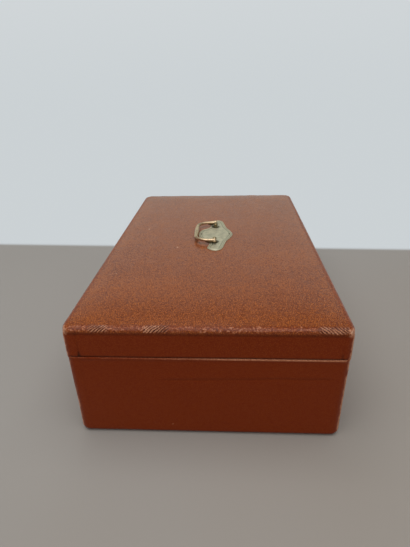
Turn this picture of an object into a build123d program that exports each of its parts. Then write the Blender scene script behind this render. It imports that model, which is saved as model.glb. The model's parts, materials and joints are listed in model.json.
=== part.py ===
from build123d import *
import os
from math import asin, cos, radians, sin, tan

os.makedirs("parts", exist_ok=True)

# Whole chest, millimetres, over the leather; the origin is the middle of the underside,
# +X is the near end, -Y the front with the lock, +Y the back with the hinges
length = 416.0              # over the lid, end to end
width = 250.0               # over the lid, front to back
seam_height = 90.0          # underside to the middle of the seam
lid_height = 30.0           # seam to the lid's top edge
crown_rise = 2.0            # middle of the lid above its edge
crown_slope = 20.0          # width of the soft slope along the lid's edges
corner_radius = 8.0         # upright corners
shoulder_radius = 6.0       # lid's top edge
foot_radius = 4.5           # lower edge of the body
seam_gap = 0.5              # between the closed lid and the body
lid_overhang = 0.5          # lid beyond the body on every side

# Covering, boards and linings
leather = 1.0
baize = 0.8
baize_margin = 6.0          # baize stops short of the body's outline
turn_under = 20.0           # leather under the bottom board
wall = 9.0
bottom_board = 8.0
top_board = 8.0
wadding = 3.0               # over the top board, at the lid's edges
corner_ease = 0.4           # boards are rounded this much more than the leather
liner = 3.0
lip = 4.0                   # liners above the rim
lip_clearance = 0.4         # lip to the lid's walls
lip_round = 1.0
floor_lining = 2.0
pad_board = 2.0
lid_lining = 1.5
pad_thickness = 8.5         # satin pad in the lid, at its middle
pad_edge = 4.5              # the same at its edges
pad_margin = 0.5            # pad to the lining strips

# Bays inside
partition = 5.0
partition_height = 70.0
knife_bay_length = 250.0
knife_bay_width = 171.0
fork_bay_length = 62.0
comb_thickness = 12.0
comb_height = 64.0
handle_comb_place = 50.0    # comb's far face from the bay's far end
blade_comb_place = 190.0
knife_count = 12
knife_pitch = 14.0
handle_notch = 10.0
handle_notch_depth = 54.0
blade_slot = 3.4
blade_slot_depth = 54.0
rest_height = 46.0
rest_thickness = 12.0
rest_place = 125.0          # rest's front face from the bay's front end
neck_notch = 9.0
neck_notch_depth = 36.0
neck_pitch = 27.0

# Hinges
hinge_inset = 75.0          # each hinge's middle from its end of the lid
leaf_length = 46.0
leaf_thickness = 1.8
leaf_depth = 10.5           # leaf on the rim, from the back face of the lid
flange = 6.0                # leaf turned over the back face
hinge_set_back = 1.0        # hinge line behind the lid's back face
knuckle_radius = 2.5
knuckle_span = 33.0
knuckle_middle = 10.8
knuckle_clearance = 0.3
hinge_pin_radius = 1.2
running_fit = 0.05
open_angle = 100.0          # where the flanges stop the lid
stop_gap = 0.15

# Screws
screw_head_radius = 2.1
screw_head_height = 1.2
screw_radius = 1.1
screw_length = 8.0
screw_slot = 0.5
screw_fit = 0.05
hinge_screw_spread = 15.0

# Lock
lock_length = 56.0
lock_depth = 30.0
lock_wall = 1.1
lock_cavity = 2.4
lock_play = 0.3             # case to its mortise and to the lining
selvedge_length = 64.0
selvedge_thickness = 1.5
selvedge_margin = 1.0       # selvedge to the leather's outer face
lock_screw_x = 28.5
hook_x = 12.0
hook_width = 7.0
hook_thickness = 1.6
hook_drop = 9.0             # hooks below the seam
hook_play = 0.4
notch_height = 3.2
notch_above_tip = 1.6
bolt_travel = 3.5
bolt_thickness = 1.8
bolt_bar_length = 44.0
bolt_bar_height = 5.0
bolt_arm = 2.6
bolt_play = 0.3
stud_x = 17.0
stud_radius = 1.3
stud_play = 0.15
key_drop = 20.0             # keyhole below the seam
keyhole_radius = 1.9
keyhole_slot = 1.7
keyhole_length = 5.0
key_pin_radius = 0.9
talon = 5.0
escutcheon_width = 13.0
escutcheon_height = 22.0
escutcheon_thickness = 0.8
escutcheon_pin_spread = 15.0

# Handle on the lid
handle_x = -8.5             # handle's middle
handle_y = 2.0
plate_thickness = 1.2
plate_bevel = 0.4
plate_half = 54.0           # middle of the plate to either end
plate_peak = 22.4           # towards the back
plate_nose = 21.6           # towards the front
plate_pin_inset = 4.0
post_spread = 54.6
post_ball = 2.6
post_neck = 1.8
post_collar = 3.5
collar_height = 1.0
shank_radius = 1.5
shank_fit = 0.1
pivot_height = 4.0          # bail's pivot above the plate
knob_play = 0.3             # bail's knobs to the posts' balls
bail_reach = 24.9           # pivot to the middle of the grip
bail_bend = 12.0
bail_radius = 1.5
grip_radius = 2.8
knob_radius = 2.3
bail_pin_radius = 1.2
heel_size = 2.4
heel_place = 4.8
heel_gap = 0.15
counterbore_radius = 5.5
counterbore_depth = 4.5
washer_radius = 5.0
washer_thickness = 0.8
nut_flat = 6.0
nut_thickness = 2.4
nail_radius = 0.7
nail_head = 1.3
nail_head_height = 0.6
nail_length = 6.0

# Levels and faces that follow from the sizes above
rim = seam_height - seam_gap / 2
board_rim = rim - leather
skirt = seam_height + seam_gap / 2
board_skirt = skirt + leather
lid_edge = seam_height + lid_height
crown = lid_edge + crown_rise
top_board_high = lid_edge - wadding
top_board_low = top_board_high - top_board
floor_board_low = baize + leather
floor_board_high = floor_board_low + bottom_board
bay_floor = floor_board_high + floor_lining
lip_top = rim + lip
body_x = length / 2 - lid_overhang
body_y = width / 2 - lid_overhang
frame_x = body_x - leather
frame_y = body_y - leather
inner_x = frame_x - wall
inner_y = frame_y - wall
bay_x = inner_x - liner
bay_y = inner_y - liner
lid_frame_x = length / 2 - leather
lid_frame_y = width / 2 - leather
lid_inner_x = inner_x + lip_clearance
lid_inner_y = inner_y + lip_clearance
board_radius = corner_radius - leather + corner_ease


def span(half):
    return (-half, half)


def block(x_range, y_range, z_range, mode=Mode.ADD):
    # Box given by its faces along X, Y and Z
    middle = [(low + high) / 2 for low, high in (x_range, y_range, z_range)]
    size = [high - low for low, high in (x_range, y_range, z_range)]
    with Locations(tuple(middle)):
        Box(*size, mode=mode)


def rod(center, x_range, radius, mode=Mode.ADD):
    # Cylinder along X on a line given by its (y, z)
    with Locations(((x_range[0] + x_range[1]) / 2, center[0], center[1])):
        Cylinder(radius, x_range[1] - x_range[0], rotation=(0, 90, 0), mode=mode)


def drill(points, z_range, radius):
    # Upright round holes
    places = [(x, y, (z_range[0] + z_range[1]) / 2) for x, y in points]
    with Locations(*places):
        Cylinder(radius, z_range[1] - z_range[0], mode=Mode.SUBTRACT)


def tub(half_x, half_y, z_range, radius, foot):
    # Upright block with rounded corners and a rounded lower edge
    with BuildPart() as form:
        with BuildSketch(Plane.XY.offset(z_range[0])):
            RectangleRounded(2 * half_x, 2 * half_y, radius)
        extrude(amount=z_range[1] - z_range[0])
        fillet(form.faces().sort_by(Axis.Z)[0].edges(), foot)
    return form.part


# Lid's top edge as (drawn in, raised) steps: a quarter round, then the slope of the crown
shoulder = [
    (shoulder_radius * (1 - cos(radians(turn))), shoulder_radius * sin(radians(turn)))
    for turn in (0, 30, 60, 90)
]
crown_steps = [
    (crown_slope, shoulder_radius + 0.65 * crown_rise),
    (3 * crown_slope, shoulder_radius + crown_rise),
]


def lid_form(inset, low):
    # Lid's outer form, drawn in by an inset on all sides
    foot = lid_edge - shoulder_radius - inset
    with BuildPart() as form:
        with BuildSketch(Plane.XY.offset(low)):
            RectangleRounded(length - 2 * inset, width - 2 * inset, corner_radius - inset)
        extrude(amount=foot - low)
        for drawn_in, raised in shoulder + crown_steps:
            draw = inset + drawn_in
            with BuildSketch(Plane.XY.offset(foot + raised)):
                RectangleRounded(length - 2 * draw, width - 2 * draw, max(corner_radius - draw, 1.5))
        loft(ruled=True)
    return form.part


def long_board(half_x, side, y_range, z_range):
    # Front (side -1) or back (side 1) board, its two outer corners rounded
    with BuildPart() as board:
        block(span(half_x), sorted((side * y_range[0], side * y_range[1])), z_range)
        corners = board.edges().filter_by(Axis.Z).sort_by(Axis.Y)
        fillet(corners[:2] if side < 0 else corners[-2:], board_radius)
    return board.part


def screw_form(grow):
    # Countersunk screw with its head's face at the origin, or its hole when grown
    with BuildPart() as form:
        with BuildSketch(Plane.XZ):
            Polygon(
                (0, grow),
                (screw_head_radius + grow, grow),
                (screw_head_radius + grow, 0),
                (screw_radius + grow, -screw_head_height),
                (screw_radius + grow, -screw_length),
                (0, -screw_length - screw_radius - grow),
                align=None,
            )
        revolve(axis=Axis.Z)
        if not grow:
            block(span(screw_head_radius), span(screw_slot / 2), (-screw_head_height / 2, 1), Mode.SUBTRACT)
    return form.part


screw = screw_form(0)
screw_hole = screw_form(screw_fit)


def screw_places(points, level, pointing_up):
    # Places for screws driven down, or up where pointing_up
    turn = 180 if pointing_up else 0
    return [Location((x, y, level), (turn, 0, 0)) for x, y in points]


# Hinge lines and places
hinge_y = width / 2 + hinge_set_back
hinge_places = (-length / 2 + hinge_inset, length / 2 - hinge_inset)
leaf_inner_y = width / 2 - leaf_depth
leaf_screw_y = leaf_inner_y + leaf_depth / 2
flange_outer_y = hinge_y + knuckle_radius
hinge_screw_points = [
    (place + step, leaf_screw_y)
    for place in hinge_places
    for step in (-hinge_screw_spread, 0, hinge_screw_spread)
]
lower_hinge_screws = screw_places(hinge_screw_points, rim, False)
upper_hinge_screws = screw_places(hinge_screw_points, skirt, True)


def hinge_recess(z_range):
    # Mortises for the leaves, and room for the knuckles
    for place in hinge_places:
        leaf_x = (place - leaf_length / 2, place + leaf_length / 2)
        block(leaf_x, (leaf_inner_y, flange_outer_y), z_range, Mode.SUBTRACT)
        rod((hinge_y, seam_height), leaf_x, knuckle_radius + knuckle_clearance, Mode.SUBTRACT)


# Lock lines, measured from the front
lock_mid_y = -(inner_y + lock_play + lock_wall + lock_cavity / 2)
cavity_y = (lock_mid_y - lock_cavity / 2, lock_mid_y + lock_cavity / 2)
case_front_y = cavity_y[0] - lock_wall
cover_back_y = cavity_y[1] + lock_wall
selvedge_y = (-(body_y - selvedge_margin), cover_back_y)
selvedge_z = (rim - selvedge_thickness, rim)
strike_y = (selvedge_y[0], -lid_inner_y - lock_play)
strike_z = (skirt, skirt + selvedge_thickness)
lock_z = (rim - lock_depth, selvedge_z[0])
selvedge_x = span(selvedge_length / 2)
case_x = span(lock_length / 2)
lock_screw_points = [(side * lock_screw_x, (selvedge_y[0] + selvedge_y[1]) / 2) for side in (-1, 1)]
lock_screw_places = screw_places(lock_screw_points, rim, False)
strike_screw_places = screw_places(lock_screw_points, skirt, True)
hook_tip = seam_height - hook_drop
notch_low = hook_tip + notch_above_tip
key_z = seam_height - key_drop
bolt_bar_top = hook_tip - 1
stud_z = bolt_bar_top - bolt_bar_height / 2


def keyhole(y_range):
    # Round hole with a slot below it, through the front
    with BuildSketch(Plane.XZ.offset(-y_range[1])) as hole:
        with Locations((0, key_z)):
            Circle(keyhole_radius)
        with Locations((0, key_z - keyhole_length / 2)):
            Rectangle(keyhole_slot, keyhole_length)
    extrude(hole.sketch, amount=y_range[1] - y_range[0], mode=Mode.SUBTRACT)


escutcheon_z = key_z - keyhole_length / 4
escutcheon_y = (-body_y - escutcheon_thickness, -body_y)
escutcheon_pin_z = [escutcheon_z + side * escutcheon_pin_spread / 2 for side in (-1, 1)]
nail_end_y = escutcheon_y[0] + nail_length


def escutcheon_pin_holes(y_range):
    # Holes for the two pins of the escutcheon
    with Locations(*[(0, (y_range[0] + y_range[1]) / 2, z) for z in escutcheon_pin_z]):
        Cylinder(nail_radius + screw_fit, y_range[1] - y_range[0], rotation=(90, 0, 0), mode=Mode.SUBTRACT)


# Handle places
plate_top = crown + plate_thickness
pivot_z = plate_top + pivot_height
post_points = [(handle_x + side * post_spread / 2, handle_y) for side in (-1, 1)]
plate_pin_points = [
    (handle_x, handle_y - plate_nose + plate_pin_inset),
    (handle_x, handle_y + plate_peak - plate_pin_inset),
]
counterbore_top = top_board_low + counterbore_depth

# Body boards
base_bottom_board = tub(frame_x, frame_y, (floor_board_low, floor_board_high), board_radius,
                        foot_radius - leather + corner_ease)

wall_z = (floor_board_high, board_rim)
front_blank = long_board(frame_x, -1, (inner_y, frame_y), wall_z)
back_blank = long_board(frame_x, 1, (inner_y, frame_y), wall_z)

with BuildPart() as base_front_board:
    add(front_blank)
    block(span(lock_length / 2 + lock_play), (case_front_y - lock_play, -inner_y),
          (lock_z[0] - lock_play, board_rim), Mode.SUBTRACT)
    block(selvedge_x, (selvedge_y[0], -inner_y), (selvedge_z[0], board_rim), Mode.SUBTRACT)
    keyhole((-frame_y, case_front_y - lock_play))
    escutcheon_pin_holes((-frame_y, nail_end_y))
    with Locations(*lock_screw_places):
        add(screw_hole, mode=Mode.SUBTRACT)

with BuildPart() as base_back_board:
    add(back_blank)
    hinge_recess((rim - leaf_thickness, rim))
    with Locations(*lower_hinge_screws):
        add(screw_hole, mode=Mode.SUBTRACT)

with BuildPart() as base_near_end_board:
    block((inner_x, frame_x), span(inner_y), wall_z)

with BuildPart() as base_far_end_board:
    block((-frame_x, -inner_x), span(inner_y), wall_z)

# Body covering: a skin over the boards, turned over the rim and under the bottom
body_outside = tub(body_x, body_y, (baize, rim), corner_radius, foot_radius)
body_inside = tub(frame_x, frame_y, (floor_board_low, board_rim), corner_radius - leather,
                  foot_radius - leather)

with BuildPart() as base_leather:
    add(body_outside)
    add(body_inside, mode=Mode.SUBTRACT)
    block(span(inner_x), span(inner_y), (board_rim, rim), Mode.SUBTRACT)
    block(span(frame_x - turn_under), span(frame_y - turn_under), (baize, floor_board_low), Mode.SUBTRACT)
    block(selvedge_x, selvedge_y, (board_rim, rim), Mode.SUBTRACT)
    hinge_recess((rim - leaf_thickness, rim))
    keyhole((-body_y, -frame_y))
    escutcheon_pin_holes((-body_y, -frame_y))

with BuildPart() as base_sheet:
    block(span(body_x - baize_margin), span(body_y - baize_margin), (0, baize))
    block(span(frame_x - turn_under), span(frame_y - turn_under), (baize, floor_board_low))

# Body linings
liner_z = (floor_board_high, lip_top)

with BuildPart() as liner_front:
    block(span(inner_x), (-inner_y, -bay_y), liner_z)
    fillet(liner_front.faces().sort_by(Axis.Z)[-1].edges().filter_by(Axis.X), lip_round)

with BuildPart() as liner_back:
    block(span(inner_x), (bay_y, inner_y), liner_z)
    fillet(liner_back.faces().sort_by(Axis.Z)[-1].edges().filter_by(Axis.X), lip_round)

with BuildPart() as liner_near_end:
    block((bay_x, inner_x), span(bay_y), liner_z)
    fillet(liner_near_end.faces().sort_by(Axis.Z)[-1].edges().filter_by(Axis.Y), lip_round)

with BuildPart() as liner_far_end:
    block((-inner_x, -bay_x), span(bay_y), liner_z)
    fillet(liner_far_end.faces().sort_by(Axis.Z)[-1].edges().filter_by(Axis.Y), lip_round)

with BuildPart() as floor_lining_sheet:
    block(span(bay_x), span(bay_y), (floor_board_high, bay_floor))

# Bays
cross_x = (-bay_x + knife_bay_length, -bay_x + knife_bay_length + partition)
spoon_x = (cross_x[1] + fork_bay_length, cross_x[1] + fork_bay_length + partition)
long_y = (-bay_y + knife_bay_width, -bay_y + knife_bay_width + partition)
partition_z = (bay_floor, bay_floor + partition_height)

with BuildPart() as partition_cross:
    block(cross_x, span(bay_y), partition_z)
    fillet(partition_cross.faces().sort_by(Axis.Z)[-1].edges().filter_by(Axis.Y), partition / 2.5)

with BuildPart() as partition_spoon:
    block(spoon_x, span(bay_y), partition_z)
    fillet(partition_spoon.faces().sort_by(Axis.Z)[-1].edges().filter_by(Axis.Y), partition / 2.5)

with BuildPart() as partition_long:
    block((-bay_x, cross_x[0]), long_y, partition_z)
    fillet(partition_long.faces().sort_by(Axis.Z)[-1].edges().filter_by(Axis.X), partition / 2.5)

# Racks
comb_y = (-bay_y, long_y[0])
comb_z = (bay_floor, bay_floor + comb_height)
knife_middle = (comb_y[0] + comb_y[1]) / 2
knife_places = [knife_middle + (i - (knife_count - 1) / 2) * knife_pitch for i in range(knife_count)]


def knife_comb(place, notch, depth):
    # Bar across the knife bay with one notch for each knife
    bar_x = (-bay_x + place, -bay_x + place + comb_thickness)
    with BuildPart() as comb:
        block(bar_x, comb_y, comb_z)
        for y in knife_places:
            block(bar_x, (y - notch / 2, y + notch / 2), (comb_z[1] - depth, comb_z[1]), Mode.SUBTRACT)
    return comb.part


def neck_rest(bay):
    # Bar across a bay with two notches for the necks of stacked forks or spoons
    bar_y = (-bay_y + rest_place, -bay_y + rest_place + rest_thickness)
    top = bay_floor + rest_height
    middle = (bay[0] + bay[1]) / 2
    with BuildPart() as rest:
        block(bay, bar_y, (bay_floor, top))
        for x in (middle - neck_pitch / 2, middle + neck_pitch / 2):
            block((x - neck_notch / 2, x + neck_notch / 2), bar_y, (top - neck_notch_depth, top), Mode.SUBTRACT)
    return rest.part


knife_handle_comb = knife_comb(handle_comb_place, handle_notch, handle_notch_depth)
knife_blade_comb = knife_comb(blade_comb_place, blade_slot, blade_slot_depth)
fork_rest = neck_rest((cross_x[1], spoon_x[0]))
spoon_rest = neck_rest((spoon_x[1], bay_x))

# Lock in the front board
with BuildPart() as lock_case:
    block(case_x, (case_front_y, cavity_y[1]), lock_z)
    block(span(lock_length / 2 - lock_wall), cavity_y, (lock_z[0] + lock_wall, lock_z[1]), Mode.SUBTRACT)
    block(selvedge_x, selvedge_y, selvedge_z)
    for side in (-1, 1):
        slot_half = hook_width / 2 + hook_play
        block((side * hook_x - slot_half, side * hook_x + slot_half), cavity_y, selvedge_z, Mode.SUBTRACT)
        with Locations((side * stud_x, (cavity_y[0] + cavity_y[1]) / 2, stud_z)):
            Cylinder(stud_radius, lock_cavity, rotation=(90, 0, 0))
    keyhole((case_front_y, cavity_y[0]))
    with Locations(*lock_screw_places):
        add(screw_hole, mode=Mode.SUBTRACT)

with BuildPart() as lock_cover:
    block(case_x, (cavity_y[1], cover_back_y), lock_z)
    with Locations((0, (case_front_y + cavity_y[1]) / 2, key_z)):
        Cylinder(key_pin_radius, cavity_y[1] - case_front_y, rotation=(90, 0, 0))

bolt_y = (lock_mid_y - bolt_thickness / 2, lock_mid_y + bolt_thickness / 2)

with BuildPart() as lock_bolt:
    block(span(bolt_bar_length / 2), bolt_y, (bolt_bar_top - bolt_bar_height, bolt_bar_top))
    for side in (-1, 1):
        tongue_tip = side * hook_x - hook_width / 2 - hook_play
        arm_edge = tongue_tip - bolt_travel
        tongue_z = (notch_low + bolt_play, notch_low + notch_height - bolt_play)
        block((arm_edge - bolt_arm, arm_edge), bolt_y, (bolt_bar_top, tongue_z[1]))
        block((arm_edge, tongue_tip), bolt_y, tongue_z)
        with BuildSketch(Plane.XZ.offset(-bolt_y[1])):
            with Locations((side * stud_x - bolt_travel / 2, stud_z)):
                SlotCenterToCenter(bolt_travel, 2 * (stud_radius + stud_play))
        extrude(amount=bolt_thickness, mode=Mode.SUBTRACT)
    block(span(talon / 2), bolt_y, (bolt_bar_top - bolt_bar_height, stud_z), Mode.SUBTRACT)

with BuildPart() as lock_screws:
    with Locations(*lock_screw_places):
        add(screw)

with BuildPart() as escutcheon:
    with BuildSketch(Plane.XZ.offset(-escutcheon_y[1])):
        with Locations((0, escutcheon_z)):
            Ellipse(escutcheon_width / 2, escutcheon_height / 2)
    extrude(amount=escutcheon_thickness)
    chamfer(escutcheon.faces().sort_by(Axis.Y)[0].edges(), escutcheon_thickness / 3)
    keyhole(escutcheon_y)
    escutcheon_pin_holes(escutcheon_y)

# Round-headed nail, its head's underside at the origin
dome_radius = (nail_head ** 2 + nail_head_height ** 2) / (2 * nail_head_height)
dome_turn = asin(nail_head / dome_radius) / 2
dome_middle = (dome_radius * sin(dome_turn), nail_head_height - dome_radius * (1 - cos(dome_turn)))

with BuildPart() as nail:
    with BuildSketch(Plane.XZ):
        with BuildLine():
            Line((0, -nail_length), (nail_radius, -nail_length + nail_radius))
            Line((nail_radius, -nail_length + nail_radius), (nail_radius, 0))
            Line((nail_radius, 0), (nail_head, 0))
            ThreePointArc((nail_head, 0), dome_middle, (0, nail_head_height))
            Line((0, nail_head_height), (0, -nail_length))
        make_face()
    revolve(axis=Axis.Z)

with BuildPart() as escutcheon_pins:
    with Locations(*[Location((0, escutcheon_y[0], z), (90, 0, 0)) for z in escutcheon_pin_z]):
        add(nail.part)

# Hinges
upper_knuckle = span(knuckle_middle / 2)
lower_knuckle = (knuckle_middle / 2 + knuckle_clearance, knuckle_span / 2)


def shifted(x_range, place):
    return (place + x_range[0], place + x_range[1])


def hinge_leaf(place, side):
    # Leaf of the hinge at a place along X: side -1 is let into the body, side 1 into the lid
    face_z = seam_height + side * seam_gap / 2
    back_y = body_y if side < 0 else width / 2
    leaf_x = (place - leaf_length / 2, place + leaf_length / 2)
    mirrored_lower = (-lower_knuckle[1], -lower_knuckle[0])
    outer = [shifted(lower_knuckle, place), shifted(mirrored_lower, place)]
    middle = [shifted(upper_knuckle, place)]
    own, other = (outer, middle) if side < 0 else (middle, outer)
    line = (hinge_y, seam_height)
    apex = seam_height + side * stop_gap / cos(radians(open_angle / 2))
    reach = 2 * flange
    with BuildPart() as leaf:
        block(leaf_x, (leaf_inner_y, hinge_y), sorted((face_z, face_z + side * leaf_thickness)))
        block(leaf_x, (back_y, flange_outer_y), sorted((face_z, face_z + side * flange)))
        with BuildSketch(Plane.YZ.offset(leaf_x[0])):
            Polygon(
                (hinge_y, seam_height - side * flange),
                (hinge_y, apex),
                (hinge_y + reach, apex + side * reach * tan(radians(open_angle / 2))),
                (hinge_y + reach, seam_height - side * flange),
                align=None,
            )
        extrude(amount=leaf_length, mode=Mode.SUBTRACT)
        for x_range in other:
            cleared = (x_range[0] - knuckle_clearance, x_range[1] + knuckle_clearance)
            rod(line, cleared, knuckle_radius + knuckle_clearance, Mode.SUBTRACT)
        for x_range in own:
            rod(line, x_range, knuckle_radius)
        rod(line, shifted(span(knuckle_span / 2), place), hinge_pin_radius + running_fit, Mode.SUBTRACT)
        with Locations(*(lower_hinge_screws if side < 0 else upper_hinge_screws)):
            add(screw_hole, mode=Mode.SUBTRACT)
    return leaf.part


def hinge_pin(place):
    with BuildPart() as pin:
        rod((hinge_y, seam_height), shifted(span(knuckle_span / 2), place), hinge_pin_radius)
    return pin.part


with BuildPart() as hinge_screws_lower:
    with Locations(*lower_hinge_screws):
        add(screw)

with BuildPart() as hinge_screws_upper:
    with Locations(*upper_hinge_screws):
        add(screw)

# Lid boards
lid_wall_z = (board_skirt, top_board_low)
lid_front_blank = long_board(lid_frame_x, -1, (lid_inner_y, lid_frame_y), lid_wall_z)
lid_back_blank = long_board(lid_frame_x, 1, (lid_inner_y, lid_frame_y), lid_wall_z)
lid_outside = lid_form(0, skirt)
lid_inside = lid_form(leather, board_skirt)

with BuildPart() as lid_front_board:
    add(lid_front_blank)
    block(selvedge_x, strike_y, (board_skirt, strike_z[1]), Mode.SUBTRACT)
    with Locations(*strike_screw_places):
        add(screw_hole, mode=Mode.SUBTRACT)

with BuildPart() as lid_back_board:
    add(lid_back_blank)
    hinge_recess((skirt, skirt + leaf_thickness))
    with Locations(*upper_hinge_screws):
        add(screw_hole, mode=Mode.SUBTRACT)

with BuildPart() as lid_near_end_board:
    block((lid_inner_x, lid_frame_x), span(lid_inner_y), lid_wall_z)

with BuildPart() as lid_far_end_board:
    block((-lid_frame_x, -lid_inner_x), span(lid_inner_y), lid_wall_z)


def handle_holes(z_range):
    # Holes for the posts' shanks and the plate's nails, down from the plate
    drill(post_points, z_range, shank_radius + shank_fit)
    nail_low = crown + plate_thickness - nail_length - 1
    if nail_low < z_range[1]:
        drill(plate_pin_points, (max(z_range[0], nail_low), z_range[1]), nail_radius + screw_fit)


with BuildPart() as lid_top_board:
    add(lid_inside)
    block(span(length), span(width), (skirt, top_board_low), Mode.SUBTRACT)
    block(span(length), span(width), (top_board_high, crown), Mode.SUBTRACT)
    handle_holes((top_board_low, top_board_high))
    drill(post_points, (top_board_low, counterbore_top), counterbore_radius)

with BuildPart() as lid_padding:
    add(lid_inside)
    block(span(length), span(width), (skirt, top_board_high), Mode.SUBTRACT)
    handle_holes((top_board_high, crown))

with BuildPart() as lid_leather:
    add(lid_outside)
    add(lid_inside, mode=Mode.SUBTRACT)
    block(span(lid_inner_x), span(lid_inner_y), (skirt, board_skirt), Mode.SUBTRACT)
    block(selvedge_x, strike_y, (skirt, board_skirt), Mode.SUBTRACT)
    hinge_recess((skirt, skirt + leaf_thickness))
    handle_holes((crown - leather - crown_rise, crown))

# Lid linings
pad_board_low = top_board_low - pad_board
lid_lining_z = (lip_top + lip_clearance, pad_board_low)

with BuildPart() as lid_pad_board:
    block(span(lid_inner_x), span(lid_inner_y), (pad_board_low, top_board_low))

with BuildPart() as lid_lining_front:
    block(span(lid_inner_x), (-lid_inner_y, -lid_inner_y + lid_lining), lid_lining_z)

with BuildPart() as lid_lining_back:
    block(span(lid_inner_x), (lid_inner_y - lid_lining, lid_inner_y), lid_lining_z)

with BuildPart() as lid_lining_near_end:
    block((lid_inner_x - lid_lining, lid_inner_x), span(lid_inner_y - lid_lining), lid_lining_z)

with BuildPart() as lid_lining_far_end:
    block((-lid_inner_x, -lid_inner_x + lid_lining), span(lid_inner_y - lid_lining), lid_lining_z)

pad_x = lid_inner_x - lid_lining - pad_margin
pad_y = lid_inner_y - lid_lining - pad_margin

# Satin pad as (drawn in, thickness) steps from its edge to its crown
pad_steps = [
    (0, 0),
    (0.5, 0.7 * pad_edge),
    (3, pad_edge),
    (crown_slope, (pad_edge + pad_thickness) / 2 + 1),
    (3 * crown_slope, pad_thickness),
]

with BuildPart() as lid_pad:
    for drawn_in, depth in pad_steps:
        with BuildSketch(Plane.XY.offset(pad_board_low - depth)):
            Rectangle(2 * (pad_x - drawn_in), 2 * (pad_y - drawn_in))
    loft(ruled=True)

# Strike plate with two hooks, each with a notch on its far side for the bolt's tongue
with BuildPart() as strike_plate:
    block(selvedge_x, strike_y, strike_z)
    hook_y = (lock_mid_y - hook_thickness / 2, lock_mid_y + hook_thickness / 2)
    for side in (-1, 1):
        hook_left = side * hook_x - hook_width / 2
        block((hook_left, hook_left + hook_width), hook_y, (hook_tip, strike_z[0]))
        block((hook_left, hook_left + bolt_travel), hook_y, (notch_low, notch_low + notch_height), Mode.SUBTRACT)
    with Locations(*strike_screw_places):
        add(screw_hole, mode=Mode.SUBTRACT)

with BuildPart() as strike_screws:
    with Locations(*strike_screw_places):
        add(screw)

# Handle plate: a cartouche with a peak at the back, a round nose in front and lobed ends
shoulder_end = (0.93 * plate_half, 0.38 * plate_peak)
lobe_end = (0.87 * plate_half, -0.37 * plate_nose)

with BuildPart() as handle_plate:
    with BuildSketch(Plane((handle_x, handle_y, crown))):
        with BuildLine():
            lobe = ThreePointArc(shoulder_end, (plate_half, 0.03 * plate_peak), lobe_end)
            Spline(
                (0, plate_peak),
                (0.24 * plate_half, 0.86 * plate_peak),
                (0.43 * plate_half, 0.66 * plate_peak),
                (0.65 * plate_half, 0.55 * plate_peak),
                shoulder_end,
                tangents=[(1, -0.2), lobe % 0],
            )
            Spline(
                lobe_end,
                (0.62 * plate_half, -0.28 * plate_nose),
                (0.41 * plate_half, -0.46 * plate_nose),
                (0.31 * plate_half, -0.76 * plate_nose),
                (0.17 * plate_half, -0.93 * plate_nose),
                (0, -plate_nose),
                tangents=[lobe % 1, (-1, 0)],
            )
            Line((0, -plate_nose), (0, plate_peak))
        make_face()
        mirror(about=Plane.YZ)
    extrude(amount=plate_thickness)
    chamfer(handle_plate.faces().sort_by(Axis.Z)[-1].edges(), plate_bevel)
    drill(post_points, (crown, plate_top), shank_radius + shank_fit)
    drill(plate_pin_points, (crown, plate_top), nail_radius + screw_fit)

with BuildPart() as handle_plate_pins:
    with Locations(*[(x, y, plate_top) for x, y in plate_pin_points]):
        add(nail.part)

washer_z = (counterbore_top - washer_thickness, counterbore_top)
nut_z = (washer_z[0] - nut_thickness, washer_z[0])
shank_end = nut_z[0] - 1


def handle_post(point):
    # Collar, neck and ball above the plate, and a shank down through the lid
    x, y = point
    with BuildPart() as post:
        with Locations((x, y, plate_top + collar_height / 2)):
            Cylinder(post_collar, collar_height)
        with Locations((x, y, (plate_top + pivot_z) / 2)):
            Cylinder(post_neck, pivot_z - plate_top)
        with Locations((x, y, pivot_z)):
            Sphere(post_ball)
        with Locations((x, y, (shank_end + plate_top) / 2)):
            Cylinder(shank_radius, plate_top - shank_end)
        rod((y, pivot_z), (x - 2 * post_ball, x + 2 * post_ball), bail_pin_radius + running_fit, Mode.SUBTRACT)
    return post.part


with BuildPart() as handle_washers:
    with Locations(*[(x, y, (washer_z[0] + washer_z[1]) / 2) for x, y in post_points]):
        Cylinder(washer_radius, washer_thickness)
    drill(post_points, washer_z, shank_radius + shank_fit)

with BuildPart() as handle_nuts:
    with BuildSketch(Plane.XY.offset(nut_z[0])):
        with Locations(*post_points):
            RegularPolygon(nut_flat / 2, 6, major_radius=False)
    extrude(amount=nut_thickness)
    drill(post_points, nut_z, shank_radius + screw_fit)

# Bail: two arms with knobs at their pivots, joined by a swelled grip
arm_x = handle_x + post_spread / 2 + post_ball + knob_play + knob_radius
bend_x = arm_x - bail_bend
grip_y = handle_y - bail_reach
bend_y = grip_y + bail_bend
grip_half = bend_x - handle_x
pin_end = handle_x + post_spread / 2 - post_ball
heel_y = handle_y - heel_place

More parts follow.
